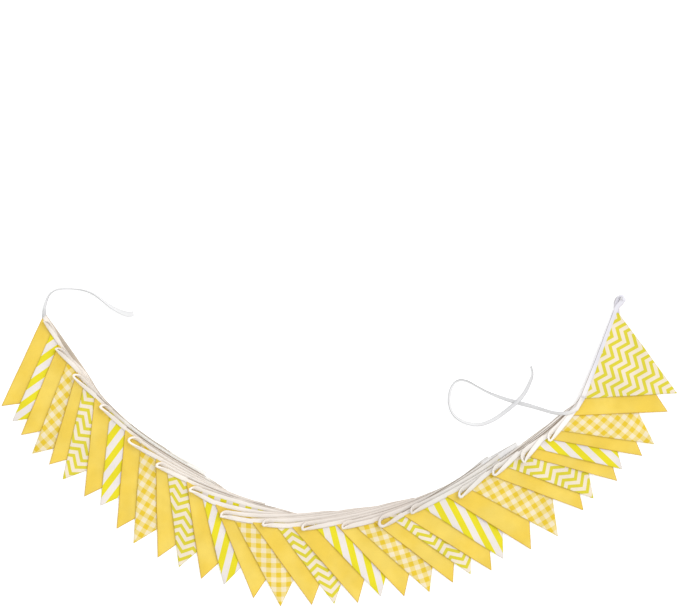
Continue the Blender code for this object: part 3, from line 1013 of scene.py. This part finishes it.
@dataclass
class Pennant:
    """One pennant: two triangles of cotton sewn together, turned and pressed."""

    plan: PennantPlan
    pile: LayerPile
    finish: bpy.types.Material
    print_row: PrintRow
    cuts: int = 47
    long_edge: float = 30.0 * MM
    edge_round: float = 0.9 * MM
    seam_allowance: float = 6.0 * MM
    allowance_fade: float = 2.5 * MM
    edge_cloth: float = 0.35 * MM
    seam_cloth: float = 1.05 * MM
    face_cloth: float = 0.85 * MM
    header_cloth: float = 0.5 * MM
    header_press: float = 9.0 * MM
    into_tape: float = 4.0 * MM
    header_seat: float = 0.5 * MM
    seat_fade: float = 12.0 * MM
    ripple: float = 0.38 * MM
    ripple_scale: float = 26.0
    ripple_shift: float = 3.7
    ripple_from: float = 20.0 * MM
    curl: float = 2.2 * MM
    curl_least: float = 0.35
    curl_scale: tuple[float, float] = (9.0, 16.0)
    curl_shift: float = 5.3
    curl_open: float = 14.0 * MM
    curl_from: float = 34.0 * MM
    curl_fade: float = 30.0 * MM
    round_under: float = 0.3 * MM
    edge_bow: float = 0.7 * MM
    bow_scale: float = 3.1
    bow_shift: float = 1.7
    bow_apart: tuple[float, float, float] = (9.0, 4.0, 2.0)

    @property
    def label(self) -> str:
        """Its place in the string and its cloth."""
        return f"{self.plan.number + 1:02d}_{Cloth.of_pennant(self.plan.number).value}"

    def seam_distance(self, point: Vector) -> float:
        """Distance of a point inside the nearer of the two sewn edges."""
        return max(0.0, -max(self.plan.past_left_edge(point), self.plan.past_right_edge(point)))

    def cloth_at(self, point: Vector) -> float:
        """Thickness of the two layers and of the seam allowance turned in between them.

        Args:
            point: a point of the straight triangle.

        Returns:
            The thickness in metres.
        """
        inside = self.seam_distance(point)
        past_allowance = smooth_step((inside - self.seam_allowance) / self.allowance_fade)
        full = self.seam_cloth + (self.face_cloth - self.seam_cloth) * past_allowance
        rounded = math.sqrt(min(1.0, inside / self.edge_round))
        pressed = 1.0 - smooth_step(self.plan.down(point) / self.header_press)
        cloth = self.edge_cloth + (full - self.edge_cloth) * rounded
        return cloth + (min(cloth, self.header_cloth) - cloth) * pressed

    def lift_at(self, point: Vector) -> float:
        """Height above the layers beneath: seated in the tape, rippled, and curled where it lies open.

        Args:
            point: a point of the straight triangle.

        Returns:
            The height in metres.
        """
        plan, down = self.plan, self.plan.down(point)
        seat = self.header_seat * (1.0 - smooth_step(down / self.seat_fade))
        place = Vector((*point * self.ripple_scale, plan.number * self.ripple_shift))
        ripple = self.ripple * (0.5 + 0.5 * noise.noise(place)) * smooth_step(down / self.ripple_from)
        free = smooth_step(self.pile.open_strip(plan.number, point) / self.curl_open)
        below = smooth_step((down - self.curl_from) / self.curl_fade)
        along, across = self.curl_scale
        place = Vector((point.dot(plan.along) * along, point.dot(plan.inward) * across,
                        plan.number * self.curl_shift))
        share = max(0.0, self.curl_least + (1.0 - self.curl_least) * noise.noise(place))
        thinner = max(0.0, self.seam_cloth - self.cloth_at(point)) / 2 if down > 0 else 0.0
        return seat + ripple + self.curl * share * free * below + min(thinner, self.round_under)

    def bowed(self, point: Vector) -> Vector:
        """Move a point a little, because sewn edges aren't quite straight.

        Args:
            point: a point on the floor.

        Returns:
            Its new place.
        """
        plan = self.plan
        share = min(1.0, max(0.0, plan.down(point) / plan.height))
        swing = math.sin(math.pi * share) * self.edge_bow
        place = Vector((share * self.bow_scale, plan.number * self.bow_shift, 0.0))
        left = plan.left_out * (noise.noise(place) * swing)
        right = plan.right_out * (noise.noise(place + Vector(self.bow_apart)) * swing)
        width = max(1e-6, plan.base * (1.0 - share))
        to_left = min(1.0, max(0.0, -plan.past_left_edge(point) / width))
        return point + left * (1.0 - to_left) + right * to_left

    def mesh(self) -> bpy.types.Mesh:
        """Shape the pennant's two faces and their rolled edge.

        Returns:
            The finished mesh.
        """
        plan = self.plan
        bm = bmesh.new()
        tuck = plan.inward * self.into_tape
        spread = plan.along * (self.into_tape * plan.base / plan.height / 2)
        corners = (plan.tip, plan.right + tuck + spread, plan.left + tuck - spread)
        face = bm.faces.new([bm.verts.new((*corner, 0.0)) for corner in corners])
        for width in (self.edge_round / 3, self.edge_round * 2 / 3, self.seam_allowance):
            bmesh.ops.inset_individual(bm, faces=[face], thickness=width, use_even_offset=True)
        long_edges = [edge for edge in bm.edges if edge.calc_length() > self.long_edge]
        bmesh.ops.subdivide_edges(bm, edges=long_edges, cuts=self.cuts, use_grid_fill=True)
        under, cloth, seam = (bm.verts.layers.float.new(name) for name in ("under", "cloth", "seam"))
        cut = bm.verts.layers.float_vector.new("cut")
        for vert in bm.verts:
            point = vert.co.xy
            place = self.bowed(plan.hung(point))
            vert[cut] = vert.co
            vert[seam] = self.seam_distance(point)
            vert[cloth] = self.cloth_at(point)
            vert[under] = self.pile.height(plan.number, place) + self.lift_at(point)
            sewn_in, tilt = max(0.0, -plan.down(point)), self.pile.tape_tilt(place, plan.number)
            vert[under] += sewn_in * math.sin(tilt)
            vert.co.xy = place - plan.inward * (sewn_in * (1.0 - math.cos(tilt)))
        made = bmesh.ops.extrude_face_region(bm, geom=bm.faces[:])["geom"]
        upper = {item for item in made if isinstance(item, bmesh.types.BMVert)}
        for vert in bm.verts:
            vert.co.z = vert[under] + (vert[cloth] if vert in upper else 0.0)
        bmesh.ops.recalc_face_normals(bm, faces=bm.faces[:])
        self.lay_maps(bm)
        for name in ("under", "cloth"):
            bm.verts.layers.float.remove(bm.verts.layers.float[name])
        bm.verts.layers.float_vector.remove(bm.verts.layers.float_vector["cut"])
        return finished_mesh(bm, f"cloth_{self.label}")

    def lay_maps(self, bm: bmesh.types.BMesh) -> None:
        """Give the cloth its weave and print coordinates, in metres.

        Args:
            bm: the pennant's mesh.
        """
        cloth = bm.loops.layers.uv.new("Cloth")
        printed = bm.loops.layers.uv.new("Print")
        turn = Matrix.Rotation(math.radians(self.print_row.turn), 2)
        shift = Vector((self.print_row.shift_along, self.print_row.shift_down)) * MM
        cut = bm.verts.layers.float_vector["cut"]
        for face in bm.faces:
            for loop in face.loops:
                offset = loop.vert[cut].xy - self.plan.middle
                place = Vector((offset.dot(self.plan.along), -offset.dot(self.plan.inward)))
                loop[cloth].uv = place
                loop[printed].uv = turn @ place + shift

    def build(self) -> bpy.types.Object:
        """Returns:
            The pennant's object.
        """
        piece = link_piece(f"cloth_{self.label}", self.mesh(), self.finish)
        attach(piece, ROOT)
        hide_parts(f"pennant_{self.label}")
        return piece


# --------------------------------------------------------------------------- tape


@dataclass
class Section:
    """One cross-section of the tape.

    It has a sewn and a folded edge, a gap between its leaves at the first and a roll at the second,
    how much painted slit shadow lies along its fold, how much it is bleached, and the distances of its
    two edges inside the band's rim, where painted rim shade falls.
    """

    sewn: Vector
    folded: Vector
    gap: float
    roll: float = 0.72 * MM
    shade: float = 0.0
    bleach: float = 0.0
    depths: tuple[float, float] = (1.0, 1.0)

    @property
    def middle(self) -> Vector:
        """The middle of the section."""
        return (self.sewn + self.folded) / 2


class Station(NamedTuple):
    """A section's sewn edge, its direction across, the one through the cloth, and its profile."""

    sewn: Vector
    across: Vector
    normal: Vector
    profile: list[tuple[float, float]]


@dataclass
class FoldedTape:
    """A strip folded in half along its length: the profile that is swept along the sections."""

    width: float = 10.0 * MM
    leaf: float = 0.34 * MM
    header_gap: float = 1.08 * MM
    closed_gap: float = 0.72 * MM
    thickness: float = 1.5 * MM
    fold_angles: tuple[float, float] = (math.radians(30.6), math.radians(61.2))

    def lean(self, sewn: Vector, across: Vector, lean: float, heights: list[float],
             gap: float | None = None) -> Section:
        """A section that leans up on its sewn edge.

        Args:
            sewn: the sewn edge's place on the floor.
            across: direction on the floor from the sewn edge to the folded one.
            lean: angle above the floor, in radians.
            heights: heights beneath the sewn and the folded edge.
            gap: distance between the leaves' middles.

        Returns:
            The section.
        """
        folded = sewn + across * (self.width * math.cos(lean))
        top = heights[1] + self.width * math.sin(lean)
        return Section(Vector((*sewn, heights[0])), Vector((*folded, top)), gap or self.closed_gap)

    def profile(self, gap: float, roll: float) -> list[tuple[float, float]]:
        """Points of the strip's middle, from one cut edge round the fold to the other.

        Args:
            gap: distance between the leaves' middles at the sewn edge.
            roll: distance between the leaves' middles where the fold begins.

        Returns:
            Pairs: distance from the sewn edge towards the fold, and offset to the side.
        """
        reach, radius = self.width - self.leaf / 2 - (roll - self.closed_gap) / 4, roll / 2
        side = [(row.reach * MM, row.gap * gap + row.roll * roll) for row in LEAF_ROWS]
        side += [(reach - radius + radius * math.sin(angle), radius * math.cos(angle))
                 for angle in (0.0, *self.fold_angles)]
        return side + [(reach, 0.0)] + [(x, -y) for x, y in reversed(side)]

    def mesh(self, name: str, sections: list[Section]) -> bpy.types.Mesh:
        """Sweep the folded strip along its sections.

        Args:
            name: the mesh's name.
            sections: the cross-sections in order.

        Returns:
            The strip, one layer thick, with its maps.
        """
        stations = self.stations(sections)
        count = len(stations[0].profile)
        bm = bmesh.new()
        bmesh.ops.create_grid(bm, x_segments=len(sections) - 1, y_segments=count - 1, size=1.0)
        seam, shade, bleach, depth = (bm.verts.layers.float.new(name)
                                      for name in ("seam", "shade", "bleach", "depth"))
        travelled = [0.0]
        for first, second in zip(sections[:-1], sections[1:]):
            travelled.append(travelled[-1] + (second.middle - first.middle).length)
        where = {}
        for vert in bm.verts:
            column = round((vert.co.x + 1.0) / 2.0 * (len(sections) - 1))
            row = round((vert.co.y + 1.0) / 2.0 * (count - 1))
            section, station = sections[column], stations[column]
            reach, offset = station.profile[row]
            vert.co = station.sewn + station.across * reach + station.normal * offset
            vert[seam], vert[shade], vert[bleach] = reach, section.shade, section.bleach
            vert[depth] = section.depths[0] + (section.depths[1] - section.depths[0]) * reach / self.width
            where[vert] = (travelled[column], reach if row <= count // 2 else 2 * self.width - reach)
        uv = bm.loops.layers.uv.new("Cloth")
        for face in bm.faces:
            for loop in face.loops:
                loop[uv].uv = where[loop.vert]
        return finished_mesh(bm, name)

    def stations(self, sections: list[Section]) -> list[Station]:
        """Turn sections into places that points are set from.

        Args:
            sections: the cross-sections in order.

        Returns:
            A station for each section.
        """
        found = []
        for index, section in enumerate(sections):
            before = sections[max(0, index - 1)].middle
            after = sections[min(len(sections) - 1, index + 1)].middle
            across = (section.folded - section.sewn).normalized()
            normal = (after - before).cross(across).normalized()
            found.append(Station(section.sewn, across, normal, self.profile(section.gap, section.roll)))
        return found

    def piece(self, name: str, sections: list[Section], finish: bpy.types.Material) -> bpy.types.Object:
        """Make the tape's object, with the leaf's thickness.

        Args:
            name: the piece's name.
            sections: the cross-sections in order.
            finish: its material.

        Returns:
            The tape's object.
        """
        piece = link_piece(name, self.mesh(name, sections), finish)
        cloth = piece.modifiers.new("Leaf", "SOLIDIFY")
        cloth.thickness = self.leaf
        cloth.offset = 0.0
        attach(piece, ROOT)
        return piece


class StandingLoop:
    """Tape standing on its edge as it turns back, from one point of the string to another."""

    near_share = 0.3
    far_share = 0.7
    gather_share = 0.1
    route_steps = 12

    def __init__(self, start: Vector, out: Vector, end: Vector, back: Vector, turn: float, reach: float,
                 width: float, roll: float, twist: float, bend: float = 0.0) -> None:
        """Lay the loop's route.

        Args:
            start: where it leaves.
            out: its direction there.
            end: where it arrives.
            back: its direction there.
            turn: 1 to turn left, -1 to turn right.
            reach: how far it goes out.
            width: how wide it opens.
            roll: how far the leaves stand apart where the tape is upright.
            twist: how late the tape rises onto its edge.
            bend: how far it bends towards the side that it turns to, in degrees.
        """
        outward = left_of(out) * turn
        way = Matrix.Rotation(math.radians(bend * turn), 2) @ out
        upper = start + (out + way) * (reach * self.near_share)
        tip = start + way * reach + outward * (width / 2)
        lower = start + way * (reach * self.far_share) + outward * width
        approach = end - back * (reach * self.near_share)
        gather = (lower + approach) / 2 + outward * (width * self.gather_share)
        self.turn = turn
        self.roll = roll
        self.twist = twist
        self.route = Route(spline([start, upper, tip, lower, gather, approach, end], self.route_steps))
        self.tip_share = self.route.lengths[2 * self.route_steps] / self.route.length

    def sections(self, tape: FoldedTape, tilts: tuple[float, float], before: Callable[[Vector], float],
                 after: Callable[[Vector], float], count: int = 30) -> list[Section]:
        """Cross-sections, whose underside climbs from one height field to the other.

        Args:
            tape: the strip.
            tilts: how far the tape stands up where it leaves and where it arrives.
            before: height field where it leaves.
            after: height field where it arrives.
            count: how many steps.

        Returns:
            The sections between the two ends.
        """
        found = []
        for step in range(1, count):
            share = step / count
            sewn, travel = self.route.at(share * self.route.length)
            if share < self.tip_share:
                upright = (share / self.tip_share) ** self.twist
                lean = tilts[0] + (math.pi / 2 - tilts[0]) * upright
            else:
                upright = ((1.0 - share) / (1.0 - self.tip_share)) ** self.twist
                lean = math.pi - tilts[1] - (math.pi / 2 - tilts[1]) * upright
            side = left_of(travel) * -self.turn
            climb = smooth_step(2.0 * share / self.tip_share - 1.0)
            folded = sewn + side * (tape.width * math.cos(lean))
            heights = [before(point) * (1.0 - climb) + after(point) * climb + tape.thickness / 2
                       for point in (sewn, folded)]
            section = tape.lean(sewn, side, lean, heights)
            section.roll += (self.roll - tape.closed_gap) * math.sin(math.pi / 2 * upright) ** 2
            found.append(section)
        return found


class Route:
    """A line with its lengths, that gives the point and direction at a distance."""

    def __init__(self, points: list[Vector]) -> None:
        """Measure the line.

        Args:
            points: its points; the first two numbers are the place on the floor.
        """
        self.points = points
        self.lengths = [0.0]
        for first, second in zip(points[:-1], points[1:]):
            self.lengths.append(self.lengths[-1] + (second.xy - first.xy).length)
        self.length = self.lengths[-1]

    def at(self, distance: float) -> tuple[Vector, Vector]:
        """Point and direction at a distance.

        Args:
            distance: metres from the start.

        Returns:
            The point, and the unit direction there.
        """
        points, lengths = self.points, self.lengths
        last = len(points) - 2
        index = next((step for step in range(last) if distance <= lengths[step + 1]), last)
        share = (distance - lengths[index]) / (lengths[index + 1] - lengths[index])
        before, after = points[max(0, index - 1)], points[min(last + 1, index + 2)]
        return points[index].lerp(points[index + 1], share), (after - before).normalized()


@dataclass
class BindingTape:
    """The tape of the whole string, from the first pennant's left corner to the last one's."""

    pile: LayerPile
    tape: FoldedTape
    finish: bpy.types.Material
    header_steps: int = 26
    header_open: float = 12.0
    return_steps: int = 12
    fold_steps: int = 8
    end_steps: int = 44
    fold_reach: float = 23.0 * MM
    fold_seat: float = 1.45 * MM
    flat_reach: float = 45.0 * MM
    flat_share: float = 0.8
    rim_step: float = 9.0 * MM
    end_start: float = 3.0 * MM
    end_offset: float = -3.5 * MM
    end_reach: float = 27.0 * MM
    end_width: float = 12.5 * MM
    end_roll: float = 5.0 * MM
    end_twist: float = 4.0
    end_bearing: float = 93.0

    def lying(self, number: int, sewn: Vector, across: Vector, drop: float = 0.0,
              gap: float | None = None, settle: float = 1.0) -> Section:
        """A section lying flat on the layers beneath it.

        Args:
            number: the layer, from 0.
            sewn: the sewn edge's place.
            across: direction to the folded edge.
            drop: how far below the layer's height it lies.
            gap: distance between the leaves' middles.
            settle: share of the layers' tilt that it keeps.

        Returns:
            The section.
        """
        least = self.fold_seat * (2.0 - drop / self.pile.rise) if drop else 0.0
        heights = [max(least, self.pile.height(number, point) - drop) + self.tape.thickness / 2
                   for point in (sewn, sewn + across * self.tape.width / 2)]
        return self.tape.lean(sewn, across, self.pile.tape_tilt(sewn, number) * settle, heights, gap)

    def header(self, number: int) -> list[Section]:
        """The tape along one pennant's top edge, from its left corner to its right one.

        Args:
            number: the pennant's place in the string, from 0.

        Returns:
            The sections.
        """
        plan = self.pile.plans[number]
        # How dark the painted slit shadow beside this header's fold is.
        shade = {row.number - 1: row.shade for row in SLIT_SHADOW_ROWS}.get(number, 0.0)
        found = []
        for step in range(self.header_steps + 1):
            share = step / self.header_steps
            inside = smooth_step(min(share, 1.0 - share) * self.header_open)
            gap = self.tape.closed_gap + (self.tape.header_gap - self.tape.closed_gap) * inside
            across = left_of(plan.header_direction(share))
            section = self.lying(number, plan.header_point(share), across, gap=gap)
            section.shade = shade
            found.append(section)
        return found

    def strand(self, number: int, start: tuple[Vector, Vector], end: tuple[Vector, Vector],
               drop: float, steps: int, flat_end: float = 0.0) -> list[Section]:
        """Tape lying along a curve.

        Args:
            number: the layer that it lies below.
            start: point and direction where it starts.
            end: point and direction where it ends.
            drop: how far below the layer's height it lies.
            steps: how many steps.
            flat_end: how much of the layers' tilt it loses towards its end.

        Returns:
            The sections, without the first one.
        """
        pull = (end[0] - start[0]).length / 3
        found = []
        for step in range(1, steps + 1):
            t = step / steps
            sewn = bezier(start[0], start[0] + start[1] * pull, end[0] - end[1] * pull, end[0], t)
            across = left_of(start[1].lerp(end[1], t)).normalized()
            near = 1.0 - smooth_step((end[0] - sewn).length / self.flat_reach)
            found.append(self.lying(number, sewn, across, drop, settle=1.0 - flat_end * near))
        return found

    def flat_fold(self, number: int) -> list[Section]:
        """Tape from a pennant's right corner to a flat fold and back to the next pennant.

        Args:
            number: the lower pennant's place in the string, from 0.

        Returns:
            The sections.
        """
        here, after = self.pile.plans[number], self.pile.plans[number + 1]
        rise = self.pile.rise
        onward = self.pile.band_place(after.right).direction
        far = {row.number - 1: row for row in FOLD_ROWS}.get(number)
        reach, aside = (far.reach * MM, far.aside * MM) if far else (self.fold_reach, 0.0)
        fold = after.right + onward * reach + left_of(onward) * aside
        flat = self.flat_share if far else 0.0
        found = self.strand(number + 2, (here.right, here.header_direction(1.0)), (fold, onward), 2 * rise,
                            self.return_steps, flat)
        for step in range(1, self.fold_steps):
            angle = math.pi * step / self.fold_steps
            sewn = fold + onward * (rise / 2 * math.sin(angle))
            found.append(self.lying(number + 2, sewn, left_of(onward),
                                    rise + rise / 2 * (1.0 + math.cos(angle)), settle=1.0 - flat))
        back = self.strand(number + 2, (after.right, after.header_direction(1.0)), (fold, onward), rise,
                           self.return_steps, flat)
        found += back[::-1]
        for section in found:
            section.bleach = flat
        return found

    def left_loop(self, number: int) -> list[Section]:
        """The standing loop between the left corners of two pennants.

        Args:
            number: the lower pennant's place in the string, from 0.

        Returns:
            The sections.
        """
        here, after = self.pile.plans[number], self.pile.plans[number + 1]
        row = LOOP_ROWS[number // 2]
        loop = StandingLoop(here.left, -here.header_direction(0.0), after.left, after.header_direction(0.0),
                            1.0, row.reach * MM, row.width * MM, row.roll * MM, row.twist, row.bend)
        tilts = (self.pile.tape_tilt(here.left, number), self.pile.tape_tilt(after.left, number + 1))
        return loop.sections(self.tape, tilts, lambda point: self.pile.height(number, point),
                             lambda point: self.pile.height(number + 1, point))

    def end_loop(self, number: int) -> list[Section]:
        """The standing loop past the right corners of the last two pennants.

        Args:
            number: the lower pennant's place in the string, from 0.

        Returns:
            The sections.
        """
        here, after, rise = self.pile.plans[number], self.pile.plans[number + 1], self.pile.rise
        out = heading(self.end_bearing)
        start = after.right + out * self.end_start + left_of(out) * self.end_offset
        found = self.strand(number + 2, (here.right, here.header_direction(1.0)), (start, out), 2 * rise,
                            self.return_steps)
        loop = StandingLoop(start, out, after.right, -after.header_direction(1.0), -1.0,
                            self.end_reach, self.end_width, self.end_roll, self.end_twist)
        tilts = (self.pile.tape_tilt(start, number), self.pile.tape_tilt(after.right, number + 1))
        return found + loop.sections(
            self.tape, tilts, lambda point: max(0.0, self.pile.height(number + 2, point) - 2 * rise),
            lambda point: max(0.0, self.pile.height(number + 2, point) - rise), self.end_steps)

    def sections(self) -> list[Section]:
        """Follow the tape through the whole string.

        Returns:
            Every section in order.
        """
        found: list[Section] = []
        last = len(self.pile.plans) - 1
        for number in range(last + 1):
            header = self.header(number)
            leftwards = number % 2 == 1
            found += header[::-1] if leftwards else header
            if number == last:
                break
            if leftwards:
                found += self.left_loop(number)
            elif number == last - 1:
                found += self.end_loop(number)
            else:
                found += self.flat_fold(number)
        self.find_rim(found)
        return found

    def find_rim(self, sections: list[Section]) -> None:
        """Measure how far each section's two edges lie inside the inner rim of the whole band.

        Args:
            sections: every section of the tape, changed in place.
        """
        edges = [[self.pile.band_place(point.xy) for point in (section.sewn, section.folded)]
                 for section in sections]
        farthest: dict[int, float] = {}
        for place in (place for pair in edges for place in pair):
            step = round(place.along / self.rim_step)
            farthest[step] = max(farthest.get(step, -math.inf), place.inside)
        steps = sorted(farthest)
        for section, pair in zip(sections, edges):
            depths = []
            for place in pair:
                first = max(steps[0], min(steps[-1] - 1, math.floor(place.along / self.rim_step)))
                share = min(1.0, max(0.0, place.along / self.rim_step - first))
                low, high = farthest.get(first, place.inside), farthest.get(first + 1, place.inside)
                depths.append(low + (high - low) * share - place.inside)
            section.depths = (depths[0], depths[1])

    def build(self) -> bpy.types.Object:
        """Returns:
            The tape's object.
        """
        sections = self.sections()
        piece = self.tape.piece("folded_tape", sections, self.finish)
        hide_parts("binding_tape")
        return piece


@dataclass
class Tie:
    """A free end of the tape, lying on the floor."""

    name: str
    node: str
    rows: tuple[TieRow, ...]
    turn: float
    pile: LayerPile
    tape: FoldedTape
    finish: bpy.types.Material
    number: int
    starts_at_pennant: bool
    route_steps: int = 8
    step: float = 4.0 * MM
    seam_gap: float = 0.3 * MM
    lean_lift: float = 0.4 * MM
    # How far the tape stands up before painted shade darkens it, and over how much lean that shade grows.
    slit_lean: float = 0.9
    slit_fade: float = 0.4

    def lying(self) -> list[Section]:
        """Lay the free end along its route.

        Returns:
            Its sections, without the one at the pennant.
        """
        points = [Vector((row.x * MM, row.y * MM, row.height * MM, math.radians(row.lean)))
                  for row in self.rows]
        route = Route(spline(points, self.route_steps))
        count = round(route.length / self.step)
        found = []
        for step in range(count + 1):
            sample, travel = route.at(route.length * step / count)
            middle = sample.xy
            side = left_of(travel.xy.normalized()) * self.turn
            lean = max(0.0, sample.w)
            half = side * (self.tape.width / 2 * math.cos(lean))
            height = max(0.0, sample.z) + self.tape.thickness / 2 + self.lean_lift * math.sin(lean)
            found.append(self.tape.lean(middle - half, side, lean, [height, height]))
            # Painted shade on upright parts: darker the more the tape stands on edge.
            found[-1].shade = smooth_step((lean - self.slit_lean) / self.slit_fade)
        return found

    def joint(self) -> Section:
        """Join the tie to the pennant's left corner.

        Returns:
            The section there.
        """
        plan = self.pile.plans[self.number]
        sewn = plan.left - plan.along * self.seam_gap
        lift = self.tape.thickness / 2
        ends = (sewn, sewn + plan.inward * self.tape.width / 2)
        heights = [self.pile.height(self.number, point) + lift for point in ends]
        tilt = self.pile.tape_tilt(sewn, self.number)
        return self.tape.lean(sewn, plan.inward, tilt, heights)

    def build(self) -> bpy.types.Object:
        """Returns:
            The tie's object.
        """
        sections = [self.joint(), *self.lying()] if self.starts_at_pennant else [*self.lying(), self.joint()]
        piece = self.tape.piece(self.name, sections, self.finish)
        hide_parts(self.node)
        self.joint().middle
        return piece


@dataclass
class Bunting:
    """The whole string: pennants, tape and ties."""

    tape: FoldedTape = field(default_factory=FoldedTape)
    band_steps: int = 4

    def __post_init__(self) -> None:
        """Lay out the pile of layers."""
        plans = [PennantPlan(number, row) for number, row in enumerate(PENNANT_ROWS)]
        band = spline([Vector((row.x, row.y)) * MM for row in BAND_ROWS], self.band_steps)
        self.pile = LayerPile(plans, band)

    def finishes(self) -> dict[Cloth, bpy.types.Material]:
        """Make the pennants' finishes.

        Returns:
            The material of each cloth.
        """
        kinds = {
            Cloth.PLAIN: Cotton("golden_cotton"),
            Cloth.STRIPE: StripedCotton("striped_cotton"),
            Cloth.GINGHAM: GinghamCotton("gingham_cotton"),
            Cloth.CHEVRON: ChevronCotton("chevron_cotton"),
        }
        return {kind: finish.material() for kind, finish in kinds.items()}

    def build(self) -> None:
        """Build every piece in order: free ends, tape, pennants."""
        cream = TapeCotton("cream_tape").material()
        white = WhiteTapeCotton("white_tape").material()
        last = len(self.pile.plans) - 1
        ties = (Tie("left_tie", "tie_left", TIE_LEFT_ROWS, 1.0, self.pile, self.tape, white, 0, False),
                Tie("right_tie", "tie_right", TIE_RIGHT_ROWS, -1.0, self.pile, self.tape, white, last, True))
        for tie in ties:
            tie.build()
        BindingTape(self.pile, self.tape, cream).build()
        finishes = self.finishes()
        prints = {row.number - 1: row for row in PRINT_ROWS}
        for plan in self.pile.plans:
            kind = Cloth.of_pennant(plan.number)
            row = prints.get(plan.number, PrintRow(plan.number + 1, 0.0, 0.0, 0.0))
            piece = Pennant(plan, self.pile, finishes[kind], row).build()
            log.info("%s: %d points", piece.name, len(piece.data.vertices))


# --------------------------------------------------------------------------- studio


@dataclass(frozen=True)
class Studio:
    """Pale floor, soft light, and a camera that looks straight down."""

    view_width: float = 1290.0 * MM
    centre: tuple[float, float] = (0.5 * MM, 279.5 * MM)
    camera_height: float = 9.0
    floor_size: float = 40.0
    floor_glow: float = 0.12
    floor_roughness: float = 0.9
    floor_specular: float = 0.1
    sensor: float = 36.0
    farthest: float = 100.0
    white: tuple[float, float, float, float] = (1.0, 1.0, 1.0, 1.0)
    sky: float = 1.04
    sun: float = 1.0
    sun_size: float = 40.0
    sun_from: tuple[float, float, float] = (0.55, 0.40, 0.85)

    def floor(self) -> None:
        """A large pale plane under the bunting."""
        bm = bmesh.new()
        bmesh.ops.create_grid(bm, x_segments=1, y_segments=1, size=self.floor_size / 2)
        paper = bpy.data.materials.new("pale_floor")
        paper.use_nodes = True
        set_inputs(paper.node_tree.nodes["Principled BSDF"], {
            "Base Color": self.white,
            "Roughness": self.floor_roughness,
            "Specular IOR Level": self.floor_specular,
            "Emission Color": self.white,
            "Emission Strength": self.floor_glow,
        })
        link_piece("floor", finished_mesh(bm, "floor"), paper)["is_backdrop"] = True

    def camera(self) -> None:
        """A long lens high above, with the whole string in its frame."""
        lens = bpy.data.cameras.new("camera")
        lens.sensor_width = self.sensor
        lens.lens = lens.sensor_width * self.camera_height / self.view_width
        lens.clip_end = self.farthest
        camera = bpy.data.objects.new("camera", lens)
        camera.location = (*self.centre, self.camera_height)
        bpy.context.scene.collection.objects.link(camera)
        bpy.context.scene.camera = camera

    def light(self) -> None:
        """An even white sky and one wide, soft sun from the upper right."""
        scene = bpy.context.scene
        world = bpy.data.worlds.new("soft_white")
        world.use_nodes = True
        set_inputs(world.node_tree.nodes["Background"], {"Color": self.white, "Strength": self.sky})
        scene.world = world
        scene.view_settings.view_transform = "Standard"
        lamp = bpy.data.lights.new("soft_sun", "SUN")
        lamp.energy = self.sun
        lamp.angle = math.radians(self.sun_size)
        holder = bpy.data.objects.new("soft_sun", lamp)
        holder.rotation_mode = "QUATERNION"
        holder.rotation_quaternion = (-Vector(self.sun_from)).to_track_quat("-Z", "Y")
        scene.collection.objects.link(holder)

    def build(self) -> None:
        """Set up the studio."""
        self.floor()
        self.camera()
        self.light()


def corners() -> list[list[float]]:
    """The shown object's box as plain numbers."""
    return [list(corner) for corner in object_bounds()]


def main() -> None:
    """Build the studio and the bunting."""
    logging.basicConfig(level=logging.INFO, format="%(message)s")
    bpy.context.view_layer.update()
    Studio().build()
    Bunting().build()


if __name__ == "__main__":
    main()
